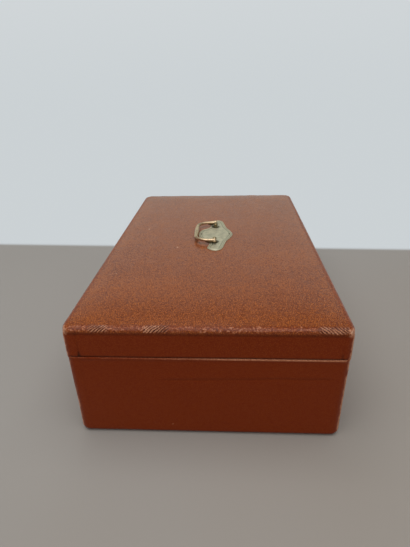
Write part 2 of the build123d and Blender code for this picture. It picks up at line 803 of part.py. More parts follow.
with BuildPart() as bail:
    with BuildLine(Plane.XY.offset(pivot_z)):
        Line((arm_x, handle_y), (arm_x, bend_y))
        RadiusArc((arm_x, bend_y), (bend_x, grip_y), bail_bend)
    with BuildSketch(Plane((arm_x, handle_y, pivot_z), z_dir=(0, -1, 0))):
        Circle(bail_radius)
    sweep()
    with Locations((arm_x, handle_y, pivot_z)):
        Sphere(knob_radius)
    rod((handle_y, pivot_z), (pin_end, arm_x), bail_pin_radius)
    block((arm_x - heel_size / 2, arm_x + heel_size / 2), (heel_y - heel_size / 2, heel_y + heel_size / 2),
          (plate_top + heel_gap, pivot_z))
    mirror(about=Plane.YZ.offset(handle_x))
    with BuildSketch(Plane((handle_x, grip_y, pivot_z), x_dir=(1, 0, 0), z_dir=(0, -1, 0))):
        with BuildLine():
            Line((-grip_half, 0), (-grip_half, bail_radius))
            Spline((-grip_half, bail_radius), (0, grip_radius), (grip_half, bail_radius), tangents=[(1, 0), (1, 0)])
            Line((grip_half, bail_radius), (grip_half, 0))
            Line((grip_half, 0), (-grip_half, 0))
        make_face()
    revolve(axis=Axis((handle_x, grip_y, pivot_z), (1, 0, 0)))

pieces = {
    "base_bottom_board": base_bottom_board,
    "base_front_board": base_front_board.part,
    "base_back_board": base_back_board.part,
    "base_near_end_board": base_near_end_board.part,
    "base_far_end_board": base_far_end_board.part,
    "base_leather": base_leather.part,
    "base_sheet": base_sheet.part,
    "liner_front": liner_front.part,
    "liner_back": liner_back.part,
    "liner_near_end": liner_near_end.part,
    "liner_far_end": liner_far_end.part,
    "floor_lining": floor_lining_sheet.part,
    "partition_cross": partition_cross.part,
    "partition_spoon": partition_spoon.part,
    "partition_long": partition_long.part,
    "knife_handle_comb": knife_handle_comb,
    "knife_blade_comb": knife_blade_comb,
    "fork_rest": fork_rest,
    "spoon_rest": spoon_rest,
    "lock_case": lock_case.part,
    "lock_cover": lock_cover.part,
    "lock_bolt": lock_bolt.part,
    "lock_screws": lock_screws.part,
    "escutcheon": escutcheon.part,
    "escutcheon_pins": escutcheon_pins.part,
    "hinge_lower_leaf_far": hinge_leaf(hinge_places[0], -1),
    "hinge_lower_leaf_near": hinge_leaf(hinge_places[1], -1),
    "hinge_pin_far": hinge_pin(hinge_places[0]),
    "hinge_pin_near": hinge_pin(hinge_places[1]),
    "hinge_screws_lower": hinge_screws_lower.part,
    "hinge_upper_leaf_far": hinge_leaf(hinge_places[0], 1),
    "hinge_upper_leaf_near": hinge_leaf(hinge_places[1], 1),
    "hinge_screws_upper": hinge_screws_upper.part,
    "lid_top_board": lid_top_board.part,
    "lid_front_board": lid_front_board.part,
    "lid_back_board": lid_back_board.part,
    "lid_near_end_board": lid_near_end_board.part,
    "lid_far_end_board": lid_far_end_board.part,
    "lid_padding": lid_padding.part,
    "lid_leather": lid_leather.part,
    "lid_pad_board": lid_pad_board.part,
    "lid_pad": lid_pad.part,
    "lid_lining_front": lid_lining_front.part,
    "lid_lining_back": lid_lining_back.part,
    "lid_lining_near_end": lid_lining_near_end.part,
    "lid_lining_far_end": lid_lining_far_end.part,
    "strike_plate": strike_plate.part,
    "strike_screws": strike_screws.part,
    "handle_plate": handle_plate.part,
    "handle_plate_pins": handle_plate_pins.part,
    "handle_post_far": handle_post(post_points[0]),
    "handle_post_near": handle_post(post_points[1]),
    "handle_washers": handle_washers.part,
    "handle_nuts": handle_nuts.part,
    "bail": bail.part,
}

for name, piece in pieces.items():
    piece.label = name
    export_step(piece, f"parts/{name}.step")
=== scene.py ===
import json
import math

import bmesh
import bpy
from mathutils import Matrix, Vector, noise


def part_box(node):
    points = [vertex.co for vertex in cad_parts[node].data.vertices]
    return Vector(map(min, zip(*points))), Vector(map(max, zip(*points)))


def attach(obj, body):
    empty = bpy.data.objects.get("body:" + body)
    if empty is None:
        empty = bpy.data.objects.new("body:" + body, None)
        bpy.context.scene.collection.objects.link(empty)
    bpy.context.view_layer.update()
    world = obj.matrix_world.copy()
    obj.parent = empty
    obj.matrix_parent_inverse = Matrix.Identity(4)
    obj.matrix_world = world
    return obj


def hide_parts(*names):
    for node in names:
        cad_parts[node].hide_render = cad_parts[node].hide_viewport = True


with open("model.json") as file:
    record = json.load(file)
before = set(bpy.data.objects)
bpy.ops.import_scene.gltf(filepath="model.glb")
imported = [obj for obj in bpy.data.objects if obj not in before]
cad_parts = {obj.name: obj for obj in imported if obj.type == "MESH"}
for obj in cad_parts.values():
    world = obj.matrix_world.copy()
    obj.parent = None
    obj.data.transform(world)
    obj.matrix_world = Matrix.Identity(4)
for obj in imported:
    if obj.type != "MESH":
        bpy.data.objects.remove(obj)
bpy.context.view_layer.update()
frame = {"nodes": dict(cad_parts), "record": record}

mm = 0.001
weldReach = 1e-6              # points closer than this are one
print("frame loaded,", len(frame["nodes"]), "nodes")


def placed(name, data):
    # Object in the scene that holds a mesh, a camera or a lamp
    made = bpy.data.objects.new(name, data)
    bpy.context.scene.collection.objects.link(made)
    return made


# Camera, worked out from the corners of the chest in the photograph
photoCamera = {
    "place": (0.4908, 0.0188, 0.3109),
    "yaw": 3.60,              # degrees to the chest's front
    "down": 26.12,            # degrees below the horizon
    "roll": -1.52,
    "lens": 26.83,
    "sensor": 36,             # mm along the image's long side
}


def makeCamera():
    yaw, down, roll = (math.radians(photoCamera[key]) for key in ("yaw", "down", "roll"))
    forward = Vector((-math.cos(yaw) * math.cos(down), -math.sin(yaw) * math.cos(down), -math.sin(down)))
    level = forward.cross(Vector((0, 0, 1))).normalized()
    upright = level.cross(forward)
    right = math.cos(roll) * level + math.sin(roll) * upright
    up = -math.sin(roll) * level + math.cos(roll) * upright
    data = bpy.data.cameras.new("photoCamera")
    data.lens = photoCamera["lens"]
    data.sensor_width = photoCamera["sensor"]
    camera = placed("photoCamera", data)
    turn = Matrix((right, up, -forward)).transposed().to_4x4()
    camera.matrix_world = Matrix.Translation(photoCamera["place"]) @ turn
    bpy.context.scene.camera = camera


makeCamera()
print("camera placed")


# Shared ways of making meshes

def newPiece(name, mesh, body, slot, *replaced):
    # A piece of the object: it rides on a body and takes the place of CAD nodes
    piece = placed(name, mesh)
    mesh.materials.clear()
    mesh.materials.append(looks[slot])
    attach(piece, body)
    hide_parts(*replaced)
    return piece


def addModifiers(holder, modifiers):
    for kind, settings in modifiers:
        modifier = holder.modifiers.new(kind.title(), kind)
        for key, value in settings.items():
            setattr(modifier, key, value)


def taken(carrier):
    # Mesh of an object as its modifiers leave it; the object itself goes
    graph = bpy.context.evaluated_depsgraph_get()
    finished = bpy.data.meshes.new_from_object(carrier.evaluated_get(graph))
    bpy.data.objects.remove(carrier)
    return finished


def applied(mesh, modifiers):
    carrier = placed(mesh.name + "Carrier", mesh)
    addModifiers(carrier, modifiers)
    return taken(carrier)


def solidMesh(name, build, sharpAngle=50, modifiers=()):
    # Mesh from bmesh code, with its modifiers applied and its sharp edges marked
    form = bmesh.new()
    build(form)
    bmesh.ops.remove_doubles(form, verts=form.verts, dist=weldReach)
    bmesh.ops.dissolve_degenerate(form, edges=form.edges, dist=0.1 * weldReach)
    mesh = bpy.data.meshes.new(name)
    form.to_mesh(mesh)
    form.free()
    if modifiers:
        mesh = applied(mesh, modifiers)
    mesh.shade_smooth()
    mesh.set_sharp_from_angle(angle=math.radians(sharpAngle))
    return mesh


def bridge(form, rings, isCut=None):
    # Faces between closed rings of points; a ring may also be a single point
    for lower, upper in zip(rings, rings[1:]):
        for k in range(max(len(lower), len(upper))):
            spots = ((lower, k), (lower, k + 1), (upper, k + 1), (upper, k))
            corners = [ring[i % len(ring)] for ring, i in spots]
            if not (isCut and isCut(sum((corner.co for corner in corners), Vector()) / 4)):
                form.faces.new(list(dict.fromkeys(corners)))


def smoothStep(low, high, value):
    share = min(1, max(0, (value - low) / (high - low)))
    return share * share * (3 - 2 * share)


def fadeOut(low, high, value):
    return 1 - smoothStep(low, high, value)


def wander(x, y, z, size, seed=0.0):
    # Smooth noise from -1 to 1 with features of about that size
    return noise.noise(Vector((x / size + seed, y / size - seed, z / size + 0.37 * seed)))


def sideLines(low, high, step, stops=()):
    # Evenly spaced lines from low to high, with every stop among them
    marks = [low] + sorted(stop for stop in stops if low < stop < high) + [high]
    lines = []
    for start, end in zip(marks, marks[1:]):
        count = max(1, round((end - start) / step))
        lines += [start + (end - start) * i / count for i in range(count)]
    return lines + [high]


def roundedOutline(halfX, halfY, radius, xLines, yLines, arcSteps):
    # Points with outward directions, counter-clockwise from the front's far end
    outline = []

    def corner(signX, signY, start):
        for i in range(1, arcSteps):
            turn = math.radians(start + 90 * i / arcSteps)
            middle = (signX * (halfX - radius), signY * (halfY - radius))
            way = (math.cos(turn), math.sin(turn))
            outline.append((middle[0] + radius * way[0], middle[1] + radius * way[1], *way))

    outline += [(x, -halfY, 0, -1) for x in xLines]
    corner(1, -1, -90)
    outline += [(halfX, y, 1, 0) for y in yLines]
    corner(1, 1, 0)
    outline += [(x, halfY, 0, 1) for x in reversed(xLines)]
    corner(-1, 1, 90)
    outline += [(-halfX, y, -1, 0) for y in reversed(yLines)]
    corner(-1, -1, 180)
    return outline


def drawnIn(column, inset, halfX, halfY):
    x, y, wayX, wayY = column
    limitX, limitY = halfX - inset, halfY - inset
    x = min(limitX, max(-limitX, x - wayX * inset))
    y = min(limitY, max(-limitY, y - wayY * inset))
    return x, y


# Materials: each value or place is a socket, and what is made from it joins its node tree

def setInputs(node, inputs):
    # Each input is linked to a socket or set to a constant
    for key, value in inputs.items():
        socket = node.inputs[key]
        if isinstance(value, bpy.types.NodeSocket):
            node.id_data.links.new(value, socket)
        else:
            socket.default_value = (*value, 1) if socket.type == "RGBA" else value


def addNode(tree, kind, inputs=None, **settings):
    made = tree.nodes.new("ShaderNode" + kind)
    for key, value in settings.items():
        setattr(made, key, value)
    setInputs(made, inputs or {})
    return made


def newLook(name):
    # A material with its tree, its shader and the place on the object
    look = bpy.data.materials.new(name)
    look.use_nodes = True
    tree = look.node_tree
    return look, tree, tree.nodes["Principled BSDF"], addNode(tree, "TexCoord").outputs["Object"]


def noiseAt(place, size, detail=3, roughness=0.55, distortion=0):
    inputs = {"Vector": place, "Scale": 1 / size, "Detail": detail, "Roughness": roughness,
              "Distortion": distortion}
    return addNode(place.id_data, "TexNoise", inputs).outputs["Fac"]


def stretchedAlongX(place, share):
    return addNode(place.id_data, "Mapping", {"Vector": place, "Scale": (share, 1, 1)}).outputs[0]


def distanceTo(place, middle):
    return addNode(place.id_data, "VectorMath", {0: place, 1: middle}, operation="DISTANCE").outputs["Value"]


def waves(place, kind, direction, pitch, distortion, detail, detailScale=1):
    inputs = {"Vector": place, "Scale": 1 / (waveScale * pitch), "Distortion": distortion, "Detail": detail,
              "Detail Scale": detailScale}
    way = {kind.lower() + "_direction": direction}
    return addNode(place.id_data, "TexWave", inputs, wave_type=kind, **way).outputs["Fac"]


def ramp(value, low, high, to=(0, 1)):
    # Value between two limits, taken smoothly to a new range
    inputs = {"Value": value, "From Min": low, "From Max": high, "To Min": to[0], "To Max": to[1]}
    return addNode(value.id_data, "MapRange", inputs, interpolation_type="SMOOTHSTEP").outputs["Result"]


def layered(colour, *layers):
    # Colours laid over the first one in turn, each with its share
    for share, over in layers:
        mixer = addNode(share.id_data, "Mix", {"Factor": share, 6: colour, 7: over}, data_type="RGBA")
        colour = mixer.outputs[2]
    return colour


def combine(operation, first, *others):
    # Sockets and numbers taken together in turn
    for other in others:
        socket = first if isinstance(first, bpy.types.NodeSocket) else other
        first = addNode(socket.id_data, "Math", {0: first, 1: other}, operation=operation).outputs[0]
    return first


def plus(*terms):
    return combine("ADD", *terms)


def minus(*terms):
    return combine("SUBTRACT", *terms)


def times(*terms):
    return combine("MULTIPLY", *terms)


def most(*terms):
    return combine("MAXIMUM", *terms)


def addBump(shader, heights, distance, strength):
    # One bump from several heights added together, each with its own weight
    total = plus(*(times(height, weight) for height, weight in heights))
    bump = addNode(shader.id_data, "Bump", {"Height": total, "Strength": strength, "Distance": distance})
    setInputs(shader, {"Normal": bump.outputs["Normal"]})


def painted(tree, name):
    # Value painted on the vertices of a mesh; 0 where a mesh has none
    return addNode(tree, "Attribute", attribute_name=name).outputs["Fac"]


waveScale = 6.28              # a wave texture's scale times its pitch
sheenRoughness = 0.35         # of the leather and the pile
leatherLook = {
    "tan": (0.490, 0.127, 0.013),     # tops of the pebbles, paler partly as painted highlight
    "deep": (0.150, 0.024, 0.002),    # between them, darker partly as painted shade
    # smooth upright sides: a deeper colour, partly the leather's own and partly painted shade
    "side": (0.207, 0.0220, 0.0008),
    # painted shade: the dark colour laid in pucker troughs, hollows, grooves, overlap gaps and along the seam
    "paintedShade": (0.042, 0.006, 0.001),
    # pale colours of wear, also laid as painted highlight on pucker crests, rounded edges and the body's lip
    "wornAndHighlight": (0.66, 0.29, 0.155),
    "bareAndHighlight": (0.78, 0.50, 0.34),
    "grain": 1.45 * mm,       # pitch of the pebbled grain
    "grainDepth": 0.19 * mm,
    "roughness": (0.52, 0.40),        # of its duller and its shinier patches
    "reflection": 0.16,
    "polish": 0.62,           # waxed shine on the grained lid, none on the smooth sides
    "polishRoughness": 0.23,
    "sheen": 0.06,
    "sheenTint": (1.0, 0.90, 0.84),
    "sideShare": 0.86,        # how far the smooth sides take their darker colour, partly painted shade
    "speckShare": 0.80,
    "specks": ((-32, -89, 122, 1.5), (34, -42.5, 122, 1.3), (105, -100.5, 122, 1.0),
               (206.2, 121.2, 117.5, 1.5)),   # x, y, z and radius in mm
}


def makeLeather():
    look, tree, shader, place = newLook("tanMorocco")
    grain, bareAndHighlight = leatherLook["grain"], leatherLook["bareAndHighlight"]
    drift = addNode(tree, "TexNoise", {"Vector": place, "Scale": 1 / (2.2 * grain), "Detail": 2})
    pull = addNode(tree, "VectorMath", {0: drift.outputs["Color"], "Scale": 0.6 * grain}, operation="SCALE")
    warped = addNode(tree, "VectorMath", {0: place, 1: pull.outputs[0]}, operation="ADD").outputs[0]
    edges, cells = (addNode(tree, "TexVoronoi", {"Vector": warped, "Scale": 1 / grain}, feature=kind).outputs
                    for kind in ("DISTANCE_TO_EDGE", "F1"))
    pebble = ramp(edges["Distance"], 0.0, 0.34)
    each = addNode(tree, "SeparateColor", {"Color": cells["Color"]}).outputs[0]
    broad = noiseAt(place, 75 * mm)
    mottle = noiseAt(place, 9 * mm, 4, 0.6)
    clumps = noiseAt(place, 3.0 * mm, 3, 0.6)
    flecks = noiseAt(place, 1.3 * mm, 3, 0.7)
    pores = noiseAt(place, 0.25 * mm, 2)
    smooth, paintedShade, wearAndPaintedLight = (painted(tree, name) for name in ("smooth", "paintedShade", "wearAndPaintedLight"))
    # Grain tone: the leather's own mottling, with painted shade between the pebbles and painted highlight on
    # their tops
    tone = plus(times(each, 0.30), times(pebble, 1.10), ramp(clumps, 0.30, 0.72, (-0.06, 0.06)),
                ramp(broad, 0.38, 0.66, (-0.06, 0.06)), ramp(mottle, 0.30, 0.72, (0.04, -0.04)))
    # crown: wear on the pebble tops, with painted highlight where the painted wear is strong
    crown = times(wearAndPaintedLight, ramp(flecks, 0.30, 0.66, (0.62, 1.0)), ramp(pebble, 0.1, 0.8, (0.72, 1.0)))
    colour = layered(leatherLook["deep"], (ramp(tone, -0.06, 1.42), leatherLook["tan"]),
                     (times(smooth, leatherLook["sideShare"]), leatherLook["side"]),
                     # painted shade in the creases, hollows and seams
                     (paintedShade, leatherLook["paintedShade"]),
                     # wear, with painted highlights
                     (ramp(crown, 0.12, 0.80, (0, 0.85)), leatherLook["wornAndHighlight"]),
                     (ramp(crown, 0.72, 1.0, (0, 0.7)), bareAndHighlight))
    for x, y, z, radius in leatherLook["specks"]:
        reach = minus(distanceTo(place, (x * mm, y * mm, z * mm)), times(clumps, radius * mm))
        colour = layered(colour, (ramp(reach, 0.0, 0.6 * radius * mm, (leatherLook["speckShare"], 0)), bareAndHighlight))
    rough = plus(ramp(mottle, 0.25, 0.75, leatherLook["roughness"]), ramp(pebble, 0.0, 0.5, (0.12, 0.0)),
                 times(wearAndPaintedLight, 0.15))
    polish = ramp(smooth, 0, 1, (leatherLook["polish"], 0.0))
    setInputs(shader, {"Base Color": colour, "Roughness": rough, "Coat Weight": polish,
                       "Coat Roughness": leatherLook["polishRoughness"],
                       "Specular IOR Level": leatherLook["reflection"],
                       "Sheen Weight": leatherLook["sheen"], "Sheen Roughness": sheenRoughness,
                       "Sheen Tint": leatherLook["sheenTint"]})
    raised = times(plus(pebble, times(each, 0.20)), ramp(smooth, 0, 1, (1.0, 0.22)))
    heights = ((raised, 1.0), (pores, 0.10), (clumps, 0.30), (mottle, 0.35))
    addBump(shader, heights, leatherLook["grainDepth"], 0.9)
    return look


plainMetal = {"dents": 0.03 * mm, "brushed": 0.12, "metal": 1.0}      # unless a metal below says otherwise
metalLooks = {
    "gilt_brass": {"colour": (0.76, 0.56, 0.35), "stain": (0.060, 0.036, 0.010), "stained": 0.45,
                   "roughness": (0.24, 0.42), "grain": 0.9 * mm, "dents": 0.05 * mm},
    "tarnished_plate": {"colour": (0.62, 0.57, 0.41), "stain": (0.26, 0.27, 0.18), "stained": 0.40,
                        "roughness": (0.42, 0.60), "grain": 2.4 * mm, "dents": 0.05 * mm, "brushed": 0.0,
                        "metal": 0.75, "grimeAndShade": (0.045, 0.032, 0.015)},
    "hinge_brass": {"colour": (0.68, 0.46, 0.19), "stain": (0.25, 0.15, 0.06), "stained": 0.35,
                    "roughness": (0.24, 0.46), "grain": 1.4 * mm},
    "lock_steel": {"colour": (0.44, 0.43, 0.41), "stain": (0.16, 0.12, 0.09), "stained": 0.4,
                   "roughness": (0.28, 0.5), "grain": 1.2 * mm},
    # posts: darker brass, partly tarnish and partly painted shade
    "aged_shaded_brass": {"colour": (0.36, 0.31, 0.18), "stain": (0.05, 0.04, 0.015), "stained": 0.7,
                   "roughness": (0.35, 0.60), "grain": 1.0 * mm, "brushed": 0.0},
    "dark_pins": {"colour": (0.16, 0.14, 0.08), "stain": (0.03, 0.03, 0.02), "stained": 0.6,
                  "roughness": (0.45, 0.65), "grain": 0.8 * mm, "dents": 0.02 * mm, "brushed": 0.0},
}
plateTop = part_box("handle_plate")[1].z
postBoxes = [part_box("handle_post_far"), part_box("handle_post_near")]
grimeAndShadeSpots = [(((low.x + high.x) / 2, (low.y + high.y) / 2, plateTop), 0.62 * (high.x - low.x))
              for low, high in postBoxes]     # middle and radius round the foot of each post, for grime and painted shadow


def makeMetal(slot):
    values = {**plainMetal, **metalLooks[slot]}
    look, tree, shader, place = newLook(slot.replace("_", " "))
    cloud = noiseAt(place, 3.2 * values["grain"], 5, 0.65, 0.4)
    fine = noiseAt(place, 0.35 * values["grain"], 3, 0.6)
    brushed = noiseAt(stretchedAlongX(place, 0.06), 0.22 * mm, 2)
    stained = times(ramp(cloud, 0.42, 0.66), values["stained"])
    # stain from the painted vertices: tarnish in the plate's grooves, tarnish and painted shade under the
    # bail
    stained = most(stained, times(painted(tree, "wearAndPaintedLight"), 0.9))
    stained = times(stained, ramp(painted(tree, "polish"), 0, 1, (1, 0)))
    bright = tuple(1.12 * channel for channel in values["colour"])
    colour = layered(values["colour"], (ramp(fine, 0.35, 0.7), bright), (stained, values["stain"]))
    # dark rings round the posts' feet: grime and painted shadow
    if "grimeAndShade" in values:
        for middle, radius in grimeAndShadeSpots:
            reach = plus(distanceTo(place, middle), ramp(cloud, 0.3, 0.7, (-0.6 * mm, 0.6 * mm)))
            colour = layered(colour, (ramp(reach, radius, 1.5 * radius, (0.85, 0)), values["grimeAndShade"]))
    rough = plus(ramp(cloud, 0.3, 0.7, values["roughness"]), ramp(brushed, 0.3, 0.7, (0, 0.07)))
    setInputs(shader, {"Base Color": colour, "Metallic": values["metal"], "Roughness": rough})
    addBump(shader, ((cloud, 1.0), (fine, 0.35), (brushed, values["brushed"])), values["dents"], 0.8)
    return look


pileLooks = {
    "green_velvet": {"colour": (0.010, 0.055, 0.030), "light": (0.022, 0.105, 0.060), "pile": 0.28 * mm,
                     "nap": 26 * mm, "sheen": 0.75, "sheenTint": (0.45, 0.80, 0.60), "lift": 0.22 * mm},
    "green_baize": {"colour": (0.022, 0.085, 0.040), "light": (0.040, 0.130, 0.068), "pile": 0.6 * mm,
                    "nap": 14 * mm, "sheen": 0.25, "sheenTint": (0.6, 0.8, 0.65), "lift": 0.25 * mm},
    "cotton_wadding": {"colour": (0.70, 0.67, 0.60), "light": (0.83, 0.81, 0.75), "pile": 1.1 * mm,
                       "nap": 9 * mm, "sheen": 0.3, "sheenTint": (1, 1, 1), "lift": 0.5 * mm},
}


def makePile(slot):
    values = pileLooks[slot]
    look, tree, shader, place = newLook(slot.replace("_", " "))
    fibres = noiseAt(place, values["pile"], 3, 0.7)
    nap = noiseAt(place, values["nap"], 3, 0.6, 0.8)
    crushed = noiseAt(place, 0.2 * values["nap"], 4, 0.6)
    colour = layered(values["colour"], (ramp(nap, 0.34, 0.68), values["light"]),
                     (ramp(fibres, 0.35, 0.7, (0.5, 0.0)), values["colour"]),
                     (ramp(crushed, 0.55, 0.78, (0, 0.5)), values["light"]))
    setInputs(shader, {"Base Color": colour, "Roughness": ramp(fibres, 0.3, 0.7, (0.98, 0.82)),
                       "Sheen Weight": values["sheen"], "Sheen Roughness": sheenRoughness,
                       "Sheen Tint": values["sheenTint"]})
    addBump(shader, ((fibres, 1.0), (crushed, 0.6)), values["lift"], 0.7)
    return look


satinLook = {
    "colour": (0.72, 0.63, 0.45),
    "pale": (0.86, 0.79, 0.64),
    "aged": (0.55, 0.42, 0.24),
    "thread": 0.22 * mm,
    "threadDepth": 0.03 * mm,
}


def makeSatin():
    look, tree, shader, place = newLook("ivory satin")
    across = waves(place, "BANDS", "X", satinLook["thread"], 0.6, 1)
    along = waves(place, "BANDS", "Y", satinLook["thread"] / 0.45, 0.6, 1)
    cloud = noiseAt(place, 60 * mm, 4, 0.6)
    spots = noiseAt(place, 5 * mm, 5, 0.7)
    colour = layered(satinLook["colour"], (ramp(cloud, 0.35, 0.65), satinLook["pale"]),
                     (ramp(spots, 0.66, 0.82, (0, 0.35)), satinLook["aged"]),
                     (ramp(across, 0.2, 0.9, (0.16, 0)), satinLook["aged"]))
    setInputs(shader, {"Base Color": colour, "Roughness": ramp(cloud, 0.3, 0.7, (0.30, 0.42)),
                       "Anisotropic": 0.5, "Sheen Weight": 0.25, "Sheen Roughness": 0.4})
    addBump(shader, ((across, 1.0), (along, 0.6)), satinLook["threadDepth"], 0.5)
    return look


woodLook = {"early": (0.56, 0.37, 0.19), "late": (0.34, 0.18, 0.075), "ring": 5.5 * mm, "fibre": 0.35 * mm,
            "depth": 0.08 * mm}


def makeWood():
    look, tree, shader, place = newLook("carcass wood")
    stretched = stretchedAlongX(place, 0.07)
    rings = waves(stretched, "RINGS", "X", woodLook["ring"], 6, 3, 1.4)
    fibres = noiseAt(stretched, woodLook["fibre"], 3, 0.6)
    colour = layered(woodLook["early"], (ramp(rings, 0.35, 0.95), woodLook["late"]),
                     (ramp(fibres, 0.4, 0.75, (0, 0.4)), woodLook["late"]))
    setInputs(shader, {"Base Color": colour, "Roughness": ramp(fibres, 0.3, 0.7, (0.62, 0.8))})
    addBump(shader, ((fibres, 1.0), (rings, 0.5)), woodLook["depth"], 0.6)
    return look


cardLook = {"colour": (0.36, 0.26, 0.16), "light": (0.46, 0.35, 0.22), "fleck": (0.20, 0.14, 0.08),
            "depth": 0.08 * mm}


def makeCard():
    look, tree, shader, place = newLook("pad card")
    flecks = noiseAt(place, 1.5 * mm, 4, 0.7)
    cloud = noiseAt(place, 40 * mm)
    colour = layered(cardLook["colour"], (ramp(cloud, 0.35, 0.65), cardLook["light"]),
                     (ramp(flecks, 0.58, 0.75, (0, 0.5)), cardLook["fleck"]))
    setInputs(shader, {"Base Color": colour, "Roughness": ramp(flecks, 0.3, 0.7, (0.75, 0.9))})
    addBump(shader, ((flecks, 1.0),), cardLook["depth"], 0.6)
    return look


looks = {"tan_leather": makeLeather(), "ivory_satin": makeSatin(), "carcass_wood": makeWood(),
         "pad_card": makeCard()}
looks.update({slot: makeMetal(slot) for slot in metalLooks})
looks.update({slot: makePile(slot) for slot in pileLooks})

for row in frame["record"]["subparts"]:
    node = frame["nodes"][row["node"]]
    node.data.materials.clear()
    node.data.materials.append(looks[row["material_slot"]])
for name, look in (("handle_plate_pins", "dark_pins"), ("handle_post_far", "aged_shaded_brass"),
                   ("handle_post_near", "aged_shaded_brass")):
    frame["nodes"][name].data.materials[0] = looks[look]
print("materials made:", len(looks))

# Leather covering: sheets that wrap the boards, given thickness inwards
covering = {
    "thickness": 0.95 * mm,
    "cornerRadius": 8 * mm,
    "cornerSteps": 9,
    "stepX": 3.4 * mm,        # spacing of the points
    "stepY": 0.75 * mm,
    "stepZ": 1.5 * mm,
    "bodyStepY": 1.6 * mm,
    "bodyStepZ": 1.35 * mm,
    "shoulderRadius": 4.6 * mm,
    "shoulderSteps": 14,
    "shoulderTurn": 84,       # degrees
    "topRows": (5.0 * mm, 5.7 * mm, 6.4 * mm, 7.2 * mm),
    "footRadius": 4.5 * mm,
    "rimRound": 1.1 * mm,
    "rimRows": (7 * mm, 4 * mm),
    "crown": 2 * mm,          # lid's middle above its edge
    "crownSlope": 17 * mm,
    "turnUnder": 21 * mm,
    "leafRoom": 2.62 * mm,    # seam to the top of a hinge leaf's flange, with its clearance
    "slack": 0.10 * mm,       # slow waves in the leather
    "pucker": 0.90 * mm,
    "puckerPitch": 3.2 * mm,
    "longPitch": 2.4,         # how much wider the puckers of the long edges are
    "slant": 0.8,             # of the puckers, away from the middle
    "lump": 1.7 * mm,         # size of the lumps between the puckers
    "lumps": 0.28 * mm,       # their height at the ends and on the long edges
    "longLumps": 0.12 * mm,
    "gathers": ((-92 * mm, 8 * mm), (-42 * mm, 11 * mm), (107 * mm, 14 * mm)),   # middle and half width
    "droop": 1.2 * mm,        # how far the lid's corners are drawn in
    "bodyDroop": 1.0 * mm,
    "lap": 0.30 * mm,         # step where the leather overlaps at an upright corner
    "frontLap": -111.5 * mm,
    "backLap": 115.5 * mm,
    "creaseHeight": 65.5 * mm,
    "creaseEnds": (-50 * mm, 114 * mm),
    "creaseDepth": 0.30 * mm,
    "lipBulge": 0.60 * mm,    # leather turned over the body's rim
    "lipWearAndHighlight": 0.62,
    "cornerWearAndSheen": 1.5,        # along the lid's upright corners, at their tips, and on the body; the corner lines are wear with a painted sheen line
    "tipWear": 2.4,
    "bodyCornerWearAndSheen": 1.3,
    "seamShade": 0.75,
    "shoulderShade": 0.70,    # in the hollow under the shoulder
    "ragged": 2.2 * mm,       # how unevenly the corners' wear and painted sheen lines run
    "scuff": (-33.4 * mm, 11.9 * mm, 1.6 * mm),   # y, z and radius, on the near end
}
lidLow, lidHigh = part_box("lid_leather")
bodyLow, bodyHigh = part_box("base_leather")
strikeLow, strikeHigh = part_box("strike_plate")
selvedgeLow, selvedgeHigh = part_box("lock_case")
liningY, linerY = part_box("lid_lining_front")[0].y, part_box("liner_front")[0].y
leafBoxes = [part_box("hinge_lower_leaf_far"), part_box("hinge_lower_leaf_near")]
lidEdge = lidHigh.z - covering["crown"]
seamZ = (lidLow.z + bodyHigh.z) / 2


def leafCut(middle):
    # Room in the back for a hinge leaf and its knuckles
    return (middle.y > leafBoxes[0][0].y and abs(middle.z - seamZ) < covering["leafRoom"]
            and any(low.x < middle.x < high.x for low, high in leafBoxes))


def coverColumns(halfX, halfY, stepY):
    # Outline of a covering, with lines at the ends of the lock and the hinges
    radius = covering["cornerRadius"]
    stops = [strikeLow.x, strikeHigh.x] + [edge for low, high in leafBoxes for edge in (low.x, high.x)]
    xLines = sideLines(radius - halfX, halfX - radius, covering["stepX"], stops)
    yLines = sideLines(radius - halfY, halfY - radius, stepY)
    return xLines, yLines, roundedOutline(halfX, halfY, radius, xLines, yLines, covering["cornerSteps"])


def sheetFaces(form, rows, outline, placeOf, isCut):
    # Quads between rows of points round the outline
    bridge(form, [[form.verts.new(placeOf(column, row)) for column in outline] for row in rows], isCut)


def arcRows(middle, radius, start, end, steps):
    # (inset, height) pairs along an arc; 0 degrees faces out and 90 up
    rows = []
    for i in range(steps + 1):
        turn = math.radians(start + (end - start) * i / steps)
        rows.append((middle[0] - radius * math.cos(turn), middle[1] + radius * math.sin(turn)))
    return rows


def shapeLeather(form, relief):
    # Lifts each point of a covering along its normal and paints its wear with painted highlights, its painted
    # shade and its smoothness
    bmesh.ops.remove_doubles(form, verts=form.verts, dist=weldReach)
    form.normal_update()
    layers = [form.verts.layers.float.new(name) for name in ("wearAndPaintedLight", "paintedShade", "smooth")]
    moves = [(vert, relief(vert.co)) for vert in form.verts]
    for vert, (lift, *paints) in moves:
        vert.co += vert.normal * lift
        for layer, paint in zip(layers, paints):
            vert[layer] = min(1, max(0, paint))


def bump(value, width):
    # 1 at zero, falling smoothly to 0 at the width
    return 1 - smoothStep(0, width, abs(value))


def finishCover(name, build, body, node):
    # Sheet of leather with its thickness inwards, in the place of its node
    thicken = ("SOLIDIFY", {"thickness": covering["thickness"], "offset": -1.0})
    return newPiece(name, solidMesh(name, build, modifiers=[thicken]), body, "tan_leather", node)


